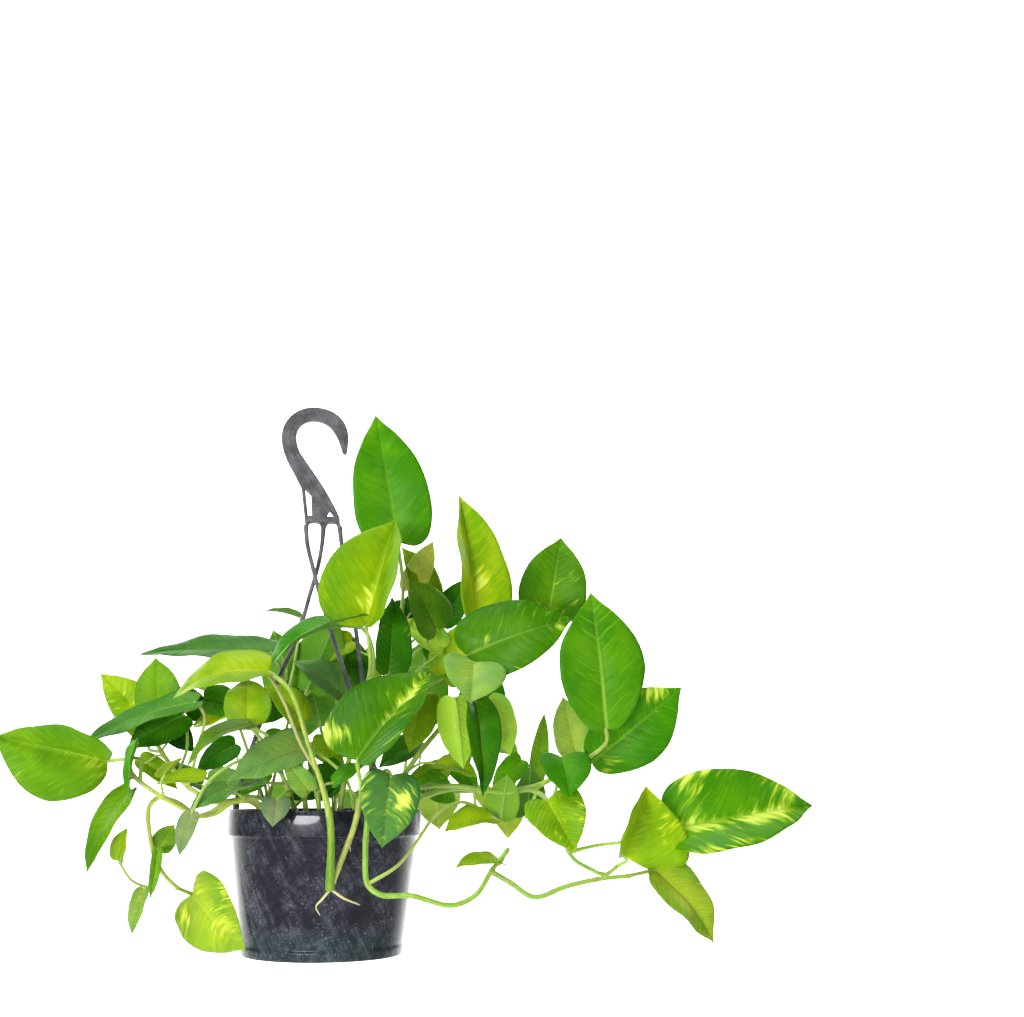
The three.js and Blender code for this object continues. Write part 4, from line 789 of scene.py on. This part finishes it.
def grow(name, stems, leaves):
    """One vine: its leaf blades as one piece, its stems, stalks and rootlets as another."""
    local = np.random.default_rng(int(name[-2:]))
    lines = []
    for _, (first, *rest) in stems:
        start = [nearest(lines[0], first)[0]] if lines else [[*first, z] for z in ROOT_Z]
        lines.append(curve([*start, *rest], 1.6))
    looks, leaves = list(LOOKS[name]), list(leaves)
    above = [p for (r, _), line in zip(stems, lines) if r > THIN for p in line if p[2] > OVER_RIM]
    # fill leaves in the core; the dark-toned ones are painted shade in its gaps
    for base, tip, wide, tone, cream in FILL.get(name, []):
        b = np.array(base, float)
        foot = min(above, key=lambda p: np.linalg.norm(p - b + [0, 0, 28]))
        face = [local.uniform(-0.35, 0.35), -1, local.uniform(0.1, 0.6)]
        near = b + unit(foot - b) * 8 - [0, 0, 2]
        stalk = [foot, foot * 0.55 + near * 0.45 + [0, 0, 6], near]
        leaves.append([base, tip, face, wide, 18, 14, 0.09, 0.015, 0.9, stalk])
        looks.append((tone, cream, 0.3))
    starts = []
    for leaf in leaves:
        found = [(*nearest(line, leaf[9][0]), i) for i, line in enumerate(lines)]
        starts.append(min(found, key=lambda f: f[2]))

    stalks = Patch()
    for i, ((r, _), line) in enumerate(zip(stems, lines)):
        s = lengths(line)
        thin = r < THIN
        places = [run for _, run, _, k in starts if k == i]
        places += [v for v in np.arange(16, s[-1] - 6, KNOT_EVERY) if all(abs(v - p) > KNOT_ROOM for p in places)]
        if thin:
            places = []
        knot = clamp(sum((bell((s - p) / KNOT_LONG) for p in places), np.zeros(len(s))))
        radius = r * (1.0 - (0.62 if thin else 0.22) * (s / s[-1]) ** 1.5) * (1 + 0.16 * knot)
        radius[-1] *= 0.55
        tone = ROOT_TONE if thin else np.array(STEMS.get(name, STEM_TONE))
        shoot(stalks, line, radius, 12, local.uniform(0, 50), tone * (0.92 + 0.16 * s / s[-1])[:, None], knot * 0.7)
        for p in places:  # short aerial rootlets under the knots that hang outside the pot
            j = int(np.argmin(np.abs(s - p)))
            here = line[j]
            few = here[2] >= OVER_RIM - 2 and local.uniform() >= 0.25
            if few or here[2] < OVER_RIM + 2 and np.hypot(*here[:2]) < OUTSIDE:
                continue
            t = unit(line[min(j + 1, len(line) - 1)] - line[max(j - 1, 0)])
            out = unit(np.cross(t, local.normal(size=3)) + [0, 0, -0.5])
            length = local.uniform(2.2, 4.5)
            path = curve([here, here + out * (r + length * 0.5), here + out * (r + length) + t], 0.6)
            shoot(stalks, path, np.linspace(0.55, 0.2, len(path)), 6, 3.0, ROOT_TONE)
    for r, points in SLENDER.get(name, []):
        line = curve(points, 1.4)
        shoot(stalks, line, np.linspace(r, r * 0.8, len(line)), 10, 7.0, TAN)

    blades = Patch()
    for i, (leaf, (start, *_), (tone, *rest)) in enumerate(zip(leaves, starts, looks)):
        base, tip = np.array(leaf[0], float), np.array(leaf[1], float)
        r, stalk = leaf[8], leaf[9]
        into = base + unit(base - stalk[-1]) + unit(tip - base) * 1.2
        line = curve([start, *stalk[1:], base, into], 1.4)
        s = lengths(line)
        share = s / s[-1]
        # sheathed at its foot, slimmer in the middle, with a knee under the blade
        knee = bell((s - s[-1] + 5.0) / 3.0)
        radius = r * (0.86 + 0.26 * bell(share / 0.13) + 0.12 * knee)
        if r > THICK:
            radius *= 1 - 0.36 * clamp((share - 0.30) / 0.25)
        radius = np.where(s > s[-1] - 2.2, radius * 0.8, radius)
        green = np.array(TONES[tone])
        near = 0.22 * clamp((share - 0.55) / 0.45)[:, None]
        tan = local.uniform(0, 0.45)
        tones = (STALK_TONE * (1 - tan) + TAN * tan) * (1 - near) + near * green
        if r > THICK:
            up = clamp((share - 0.18) / 0.16)[:, None]
            tones = GREEN * (1 - up) + PALE * up
        shoot(stalks, line, radius, 10, local.uniform(0, 50), tones, knee * 0.35)
        blade(blades, leaf, i, green, *rest)
    stalks.make(name + "_stems", STEM, "foliage", name)
    blades.make(name + "_leaves", LEAF, "foliage")


for name, vine in VINES.items():
    grow(name, *vine)


# ---- pot -------------------------------------------------------------------
def lathe(profile, sides):
    """Points and faces of a closed turned body through (radius, height) points."""
    n = len(profile)
    co = np.concatenate([ring(r, z, sides) for r, z in profile])
    return co, [f[::-1] for i in range(n) for f in strip(i * sides, (i + 1) % n * sides, sides)]


def rounded(points, radius, steps=4):
    """A closed outline with rounded corners; points are (x, z, share of the radius)."""
    out = []
    n = len(points)
    for i, (x, z, share) in enumerate(points):
        if share == 0:
            out.append((x, z))
            continue
        p, a, b = np.array([x, z]), np.array(points[i - 1][:2]), np.array(points[(i + 1) % n][:2])
        r = min(radius * share, np.linalg.norm(a - p) * 0.45, np.linalg.norm(b - p) * 0.45)
        p0, p2 = p + unit(a - p) * r, p + unit(b - p) * r
        out += [tuple((1 - t) ** 2 * p0 + 2 * t * (1 - t) * p + t * t * p2) for t in np.linspace(0, 1, steps + 1)]
    return out


def cut_hole(ob, x, y, r, low, high, n=32):
    """Cuts an upright round hole, in mm, through the piece."""
    co = np.concatenate([ring(r, z, n, x, y) for z in (low, high)])
    mesh = bpy.data.meshes.new("hole")
    mesh.from_pydata(metres(co).tolist(), [], [list(range(n))[::-1], list(range(n, 2 * n)), *strip(0, n, n)])
    cutter = link("hole", mesh)
    mod = ob.modifiers.new("hole", "BOOLEAN")
    mod.object, mod.operation, mod.solver = cutter, "DIFFERENCE", "EXACT"
    made = bpy.data.meshes.new_from_object(ob.evaluated_get(bpy.context.evaluated_depsgraph_get()))
    ob.modifiers.remove(mod)
    ob.data = made
    bpy.data.objects.remove(cutter)


TOP_R = RIM_R - 3.2  # outside of the wall under the rim
SIDES = 192  # of the turned pot
HUB, HOLLOW = 8.0, 0.9  # middle of the floor, and how far its underside stands off
pot = Patch()
pot.add(*lathe(rounded([
    (HUB, HOLLOW, 0), (BASE_R - 7.0, HOLLOW, 0.6), (BASE_R - 6.0, 0.0, 0.6), (BASE_R - 0.2, 0.0, 1.0),
    (BASE_R + 0.9, FOOT_H - 0.4, 0.5), (BASE_R + 0.25, FOOT_H + 1.4, 0.5), (TOP_R - 0.05, RIM_LOW - 0.9, 0.7),
    (RIM_R, RIM_LOW - 0.2, 0.8), (RIM_R + 0.02, POT_H - 3.4, 0.2), (RIM_R - 0.25, POT_H, 1.3), (RIM_R - 3.6, POT_H, 1.3),
    (RIM_R - 3.9, POT_H - 3.2, 0.6), (TOP_R - WALL, RIM_LOW, 0.8), (BASE_R - WALL, FLOOR + 1.5, 1.0),
    (BASE_R - WALL - 2.0, FLOOR, 1.0), (HUB, FLOOR, 0),
], 1.5), SIDES))
# the middle of the floor, a disc that the ring above closes on
disc = [ring(HUB + 0.05, z, SIDES) for z in (HOLLOW, FLOOR)]
under = [[j, 2 * SIDES, (j + 1) % SIDES] for j in range(SIDES)]
over = [[SIDES + j, SIDES + (j + 1) % SIDES, 2 * SIDES + 1] for j in range(SIDES)]
pot.add(np.concatenate([*disc, [[0, 0, HOLLOW], [0, 0, FLOOR]]]), [*under, *over, *strip(0, SIDES, SIDES)])
pot_ob = pot.make("pot_body", pot_material(), "pot_plastic", "pot")
DRAINS, DRAIN_AT, DRAIN_R = 6, 38, 4.5
for k in range(DRAINS):
    turn = k / DRAINS * TAU + 0.4
    cut_hole(pot_ob, DRAIN_AT * math.cos(turn), DRAIN_AT * math.sin(turn), DRAIN_R, -4, 8)


# ---- soil --------------------------------------------------------------------
def wall_at(z):
    """The soil's radius at a height, just inside the wall."""
    return BASE_R - WALL + (TOP_R - BASE_R) / (RIM_LOW - FLOOR) * (z - FLOOR) - 0.6


SOIL_R = wall_at(SOIL_TOP) - 1.6


def soil_level(x, y):
    q = np.hypot(x, y) / SOIL_R
    waves = 1.4 * np.sin(x * 0.21 + 1.1) * np.cos(y * 0.19) + 0.9 * np.sin(x * 0.47 - y * 0.39 + 2.0)
    return SOIL_TOP - 2.2 * q * q + waves * clamp((1.02 - q) / 0.1 + 0.4)


sides, rings = 144, 44
co = [[0, 0, soil_level(0, 0)]]
for i in range(1, rings + 1):
    for j in range(sides):
        t = j / sides * TAU + 0.02 * (i % 2)
        x, y = i / rings * SOIL_R * math.cos(t), i / rings * SOIL_R * math.sin(t)
        rough = 0.5 * math.sin(x * 1.9 + 1.7 * math.sin(y * 1.3)) * math.cos(y * 1.6)
        co.append([x, y, soil_level(x, y) + rough * (i < rings)])
for r, z in ((wall_at(60) - 0.4, 60), (BASE_R - WALL - 3.0, FLOOR + 0.6)):
    co += ring(r, z, sides).tolist()
co.append([0, 0, FLOOR + 0.6])
faces = [[0, 1 + j, 1 + (j + 1) % sides] for j in range(sides)]
for a in range(1, 1 + (rings + 1) * sides, sides):
    faces += [[a + j, a + j + sides, a + (j + 1) % sides + sides, a + (j + 1) % sides] for j in range(sides)]
last = 1 + (rings + 1) * sides
faces += [[last + j, len(co) - 1, last + (j + 1) % sides] for j in range(sides)]
soil = Patch()
soil.add(co, faces)
soil.make("compost", soil_material(), "compost", "soil")

# loose crumbs, bark chips and white perlite on top, each a lumpy icosahedron
CRUMBS, PEAT_TO, BARK_TO = 900, 0.6, 0.93  # how many, the share of peat, and of peat and bark
gold = (1 + 5**0.5) / 2
ICO = unit([np.roll((v, u, 0), k) for k in range(3) for u in (gold, -gold) for v in (-1, 1)])
ICO_FACES = [
    [0, 11, 5], [0, 5, 1], [0, 1, 7], [0, 7, 10], [0, 10, 11], [1, 5, 9], [5, 11, 4], [11, 10, 2], [10, 7, 6], [7, 1, 8],
    [3, 9, 4], [3, 4, 2], [3, 2, 6], [3, 6, 8], [3, 8, 9], [4, 9, 5], [2, 4, 11], [6, 2, 10], [8, 6, 7], [9, 8, 1],
]
PEAT, BARK, PERLITE = (0.030, 0.018, 0.010), (0.075, 0.044, 0.022), (0.62, 0.60, 0.54)
rng = np.random.default_rng(7)
crumbs = Patch()
for i in range(CRUMBS):
    away, t = SOIL_R * 0.985 * math.sqrt(rng.uniform()), rng.uniform(0, TAU)
    x, y = away * math.cos(t), away * math.sin(t)
    kind = rng.uniform()
    size = rng.uniform(0.7, 1.7) if kind < BARK_TO else rng.uniform(0.8, 1.5)
    stretch = np.array([1.0, rng.uniform(0.55, 1.0), rng.uniform(0.45, 0.8)])
    if away + size > SOIL_R:
        continue
    tone = np.array(PEAT if kind < PEAT_TO else BARK if kind < BARK_TO else PERLITE)
    spin = np.array(Quaternion(unit(rng.normal(size=4))).to_matrix())
    lump = (ICO * rng.uniform(0.75, 1.15, (12, 1)) * stretch * size) @ spin.T
    crumbs.add(lump + [x, y, soil_level(x, y) + size * 0.25], ICO_FACES, tone=tone * rng.uniform(0.7, 1.3))
crumbs.make("compost_crumbs", crumb_material(), "compost", fine=False)


# ---- hanger --------------------------------------------------------------------
def pen(start, *moves):
    """Points along lines, quadratic and cubic curves in the x, z plane."""
    out = [np.array(start, float)]
    for move in moves:
        p0 = out[-1]
        q = np.reshape(move, (-1, 2)).astype(float)
        for t in np.linspace(0, 1, 15)[1:] if len(q) > 1 else [1]:
            if len(q) < 3:
                out.append((1 - t) ** 2 * p0 + 2 * t * (1 - t) * q[0] + t * t * q[-1])
            else:
                out.append((1 - t) ** 3 * p0 + 3 * t * (1 - t) ** 2 * q[0] + 3 * t * t * (1 - t) * q[1] + t**3 * q[2])
    return np.array(out)


def plate(loops, depth, bevel):
    """A flat moulded plate in the x, z plane with rounded edges."""
    data = bpy.data.curves.new("plate", "CURVE")
    data.dimensions, data.fill_mode = "2D", "BOTH"
    for loop in loops:
        s = data.splines.new("POLY")
        s.points.add(len(loop) - 1)
        for p, (x, z) in zip(s.points, loop):
            p.co = (x, z, 0, 1)
        s.use_cyclic_u = True
    data.extrude, data.bevel_depth, data.bevel_resolution, data.offset = depth / 2 - bevel, bevel, 3, -bevel
    ob = link("plate", data)
    mesh = bpy.data.meshes.new_from_object(ob.evaluated_get(bpy.context.evaluated_depsgraph_get()))
    bpy.data.objects.remove(ob)
    co = np.array([(v.co.x, -v.co.z, v.co.y) for v in mesh.vertices])
    return co, [list(p.vertices) for p in mesh.polygons]


hanger = Patch()
outline = pen(
    (-22, FOOT_Z), (-22.5, FOOT_Z + 3), (-25.5, FOOT_Z + 26), (-33, FOOT_Z + 40), (-42.6, 392, -42.6, 404),
    (-42.6, 419, -31, 429.5, -16.5, 429.5), (-1, 429.5, 10.8, 420, 11.4, 405), (11.4, 397, 10.4, 392), (8.4, 389.5, 6.6, 392.5),
    (3.6, 404, -1, 410), (-7, 418, -16.8, 418), (-25, 418, -30.6, 412, -30.6, 404.5), (-30.4, 396, -26.5, 390),
    (-18, 378, -9, 365), (0.5, 350, 5.5, FOOT_Z + 3), (5.5, FOOT_Z),
)
eye_a = pen((-19.6, FOOT_Z + 3.6), (-16.6, FOOT_Z + 3.6), (-17.6, FOOT_Z + 20), (-22.4, FOOT_Z + 25))
eye_b = pen((-4.5, FOOT_Z + 3.2), (1.6, FOOT_Z + 3.2), (-1.4, FOOT_Z + 9.5))
hanger.add(*plate([outline, eye_a, eye_b], HOOK_T, 0.7))
# raised beads on both faces: round the hook, and one more down the shank
for bead in (
    [(8.6, 398), (6.6, 407), (0.5, 417), (-8, 422.6), (-16.6, 424.4), (-26, 421.4), (-33.2, 414.5), (-36.4, 404),
     (-33.4, 392.5), (-25.5, 379), (-16, 365), (-6.5, 350), (1.8, FOOT_Z + 4)],
    [(-36.6, 397), (-32.5, 386.5), (-25, 372), (-17.5, 358), (-9.5, FOOT_Z + 6)],
):
    for face in (-1, 1):
        line = curve([[x, face * (HOOK_T / 2 - 0.35), z] for x, z in bead], 1.2)
        hanger.add(*tube(line, np.full(len(line), 0.85), 8)[:2])

# the foot, a bevelled bar, and the two low arches of the yoke under it
bm = bmesh.new()
bmesh.ops.create_cube(bm, size=1.0)
bmesh.ops.scale(bm, vec=(28.5, 9, 3.2), verts=bm.verts)
bmesh.ops.bevel(bm, geom=bm.edges[:], offset=0.6, segments=3, affect="EDGES", profile=0.5)
hanger.add([v.co + Vector((-8.2, 0, FOOT_Z - 0.6)) for v in bm.verts], [[v.index for v in f.verts] for f in bm.faces])
bm.free()
for arch in (
    [[-21, -3, 330], [-19, -2, 334], [-14, 0, 335.4], [-9, 2, 334], [-7, 4, 330]],
    [[-7, 4, 330], [-5, 2, 334], [-1, 0, 335.4], [4, -1, 334], [6, -1, 330]],
):
    line = curve(arch, 0.8)
    hanger.add(*tube(line, np.full(len(line), 1.7), 14)[:2])

# each strand: the way its clip faces, in degrees, and its points
STRANDS = [
    (303, [[-21, -3, 331], [-19.5, -5, 316], [-15, -9, 298], [-9, -14, 276], [3, -25, 238], [17, -40, 196], [31, -56, 152]]),
    (157, [[-7, 4, 331], [-8, 4.5, 316], [-10.5, 4, 300], [-16, 3, 278], [-25, 2, 244], [-44, 6, 198], [-60, 17, 152]]),
    (60, [[6, -1, 331], [8, 2, 316], [12, 8, 296], [19, 20, 262], [27, 38, 214], [34, 54, 168]]),
]
CLIP_R = RIM_R + GAP + 0.25  # inside of a clip
clip = rounded([
    (CLIP_R, 113.5, 0.5), (CLIP_R + 2.2, 112, 0.8), (CLIP_R + 2.2, RIM_LOW - 4.2, 0.8), (CLIP_R + 1.2, RIM_LOW - 5.2, 0.5),
    (RIM_R - 2.0, RIM_LOW - 4.0, 0.5), (RIM_R - 2.0, RIM_LOW - 2.2, 0.4), (CLIP_R, RIM_LOW - 1.6, 0),
], 1.0, 3)
for angle, path in STRANDS:
    t = math.radians(angle)
    end = turned(np.array([[RIM_R, 0, 124], [RIM_R + 1.6, 0, 112], [RIM_R + 1.9, 0, 108]]), t)
    line = curve([*path, *end], 2.0)
    run = lengths(line)
    radius = STRAND_R * (0.92 + 0.35 * np.exp(-run / 5.0) + 0.25 * np.exp(-(run[-1] - run) / 5.0))
    hanger.add(*tube(line, np.minimum(radius, STRAND_R * 1.12), 12)[:2])
    co, faces = plate([np.array(clip)], 8.0, 0.35)
    hanger.add(turned(co, t), faces)
hanger_ob = hanger.make("hanger_moulded", hanger_material(), "hanger_plastic", "hanger")
hanger_ob.data.set_sharp_from_angle(angle=math.radians(35))
pot_ob.data.set_sharp_from_angle(angle=math.radians(40))


# ---- stage: floor, lights and camera ---------------------------------------------
def floor():
    """A plain pale floor well below the hanging pot, which sweeps up behind it."""
    m = Nodes("studio_floor")
    tint = m.mix(m.noise(m.coords(), 1.5, 1.0), (0.90, 0.90, 0.90), (0.93, 0.93, 0.93))
    glow = m.mul(m.node("LightPath").outputs["Is Camera Ray"], 0.45)
    m.set(Base_Color=tint, Roughness=0.9, Specular_IOR_Level=0.2, Emission_Color=(1.0, 1.0, 1.0, 1.0), Emission_Strength=glow)
    low, back, rise, high, wide = -0.95, 3.6, 1.4, 9.0, 14.0
    profile = [(-9.0, low), (back - rise, low)]
    profile += [(back - rise + rise * math.sin(t), low + rise * (1 - math.cos(t))) for t in np.linspace(0, math.pi / 2, 24)[1:]]
    profile += [(back, high)]
    mesh = bpy.data.meshes.new("studio_floor")
    quads = [[2 * i, 2 * i + 1, 2 * i + 3, 2 * i + 2] for i in range(len(profile) - 1)]
    mesh.from_pydata([(x, y, z) for y, z in profile for x in (-wide, wide)], [], quads)
    mesh.materials.append(m.mat)
    mesh.polygons.foreach_set("use_smooth", [True] * len(mesh.polygons))
    link("studio_floor", mesh)


def lamp(name, at, to, size, power, high=None):
    data = bpy.data.lights.new(name, "AREA")
    data.shape, data.size, data.size_y, data.energy = "ELLIPSE", size, high or size, power
    ob = link(name, data)
    ob.location = at
    ob.rotation_euler = (Vector(to) - Vector(at)).to_track_quat("-Z", "Y").to_euler()


floor()
world = bpy.data.worlds.new("studio")
world.use_nodes = True
tree = world.node_tree
sky = tree.nodes["Background"]
seen, level = tree.nodes.new("ShaderNodeLightPath"), tree.nodes.new("ShaderNodeMapRange")
tree.links.new(seen.outputs["Is Camera Ray"], level.inputs[0])
level.inputs[3].default_value, level.inputs[4].default_value = 0.16, 1.0
sky.inputs[0].default_value = (1.0, 1.0, 1.0, 1)
tree.links.new(level.outputs[0], sky.inputs[1])
bpy.context.scene.world = world
MIDDLE = (0.05, 0, -0.25)  # of the plant
lamp("key", (-1.1, -1.5, 1.7), MIDDLE, 0.9, 50)
lamp("fill", (1.9, -1.6, 0.4), MIDDLE, 1.2, 11)
lamp("window", (-0.60, -1.37, -0.36), (0.0168, 0, -0.32), 1.0, 20, 0.14)
lamp("top", (0.1, 0.4, 1.9), MIDDLE, 1.2, 30)
lamp("back_a", (-2.4, 1.6, 1.2), (-0.6, 3.6, 0.4), 1.8, 165)
lamp("back_b", (2.4, 1.6, 1.2), (0.8, 3.6, 0.4), 1.8, 165)

SENSOR, LENS = 36.0, 50.52  # mm
UP, ASIDE = 10.968, -7.242  # degrees that the camera looks up and to the right
cam = bpy.data.cameras.new("camera")
cam.sensor_width, cam.lens = SENSOR, LENS
cam.clip_start, cam.clip_end = 0.05, 60.0
eye = link("camera", cam)
eye.location = (0.0168, -1.15, -0.293)
eye.rotation_euler = (math.radians(90 + UP), 0, math.radians(ASIDE))
bpy.context.scene.camera = eye
bpy.context.scene.view_settings.view_transform = "Standard"
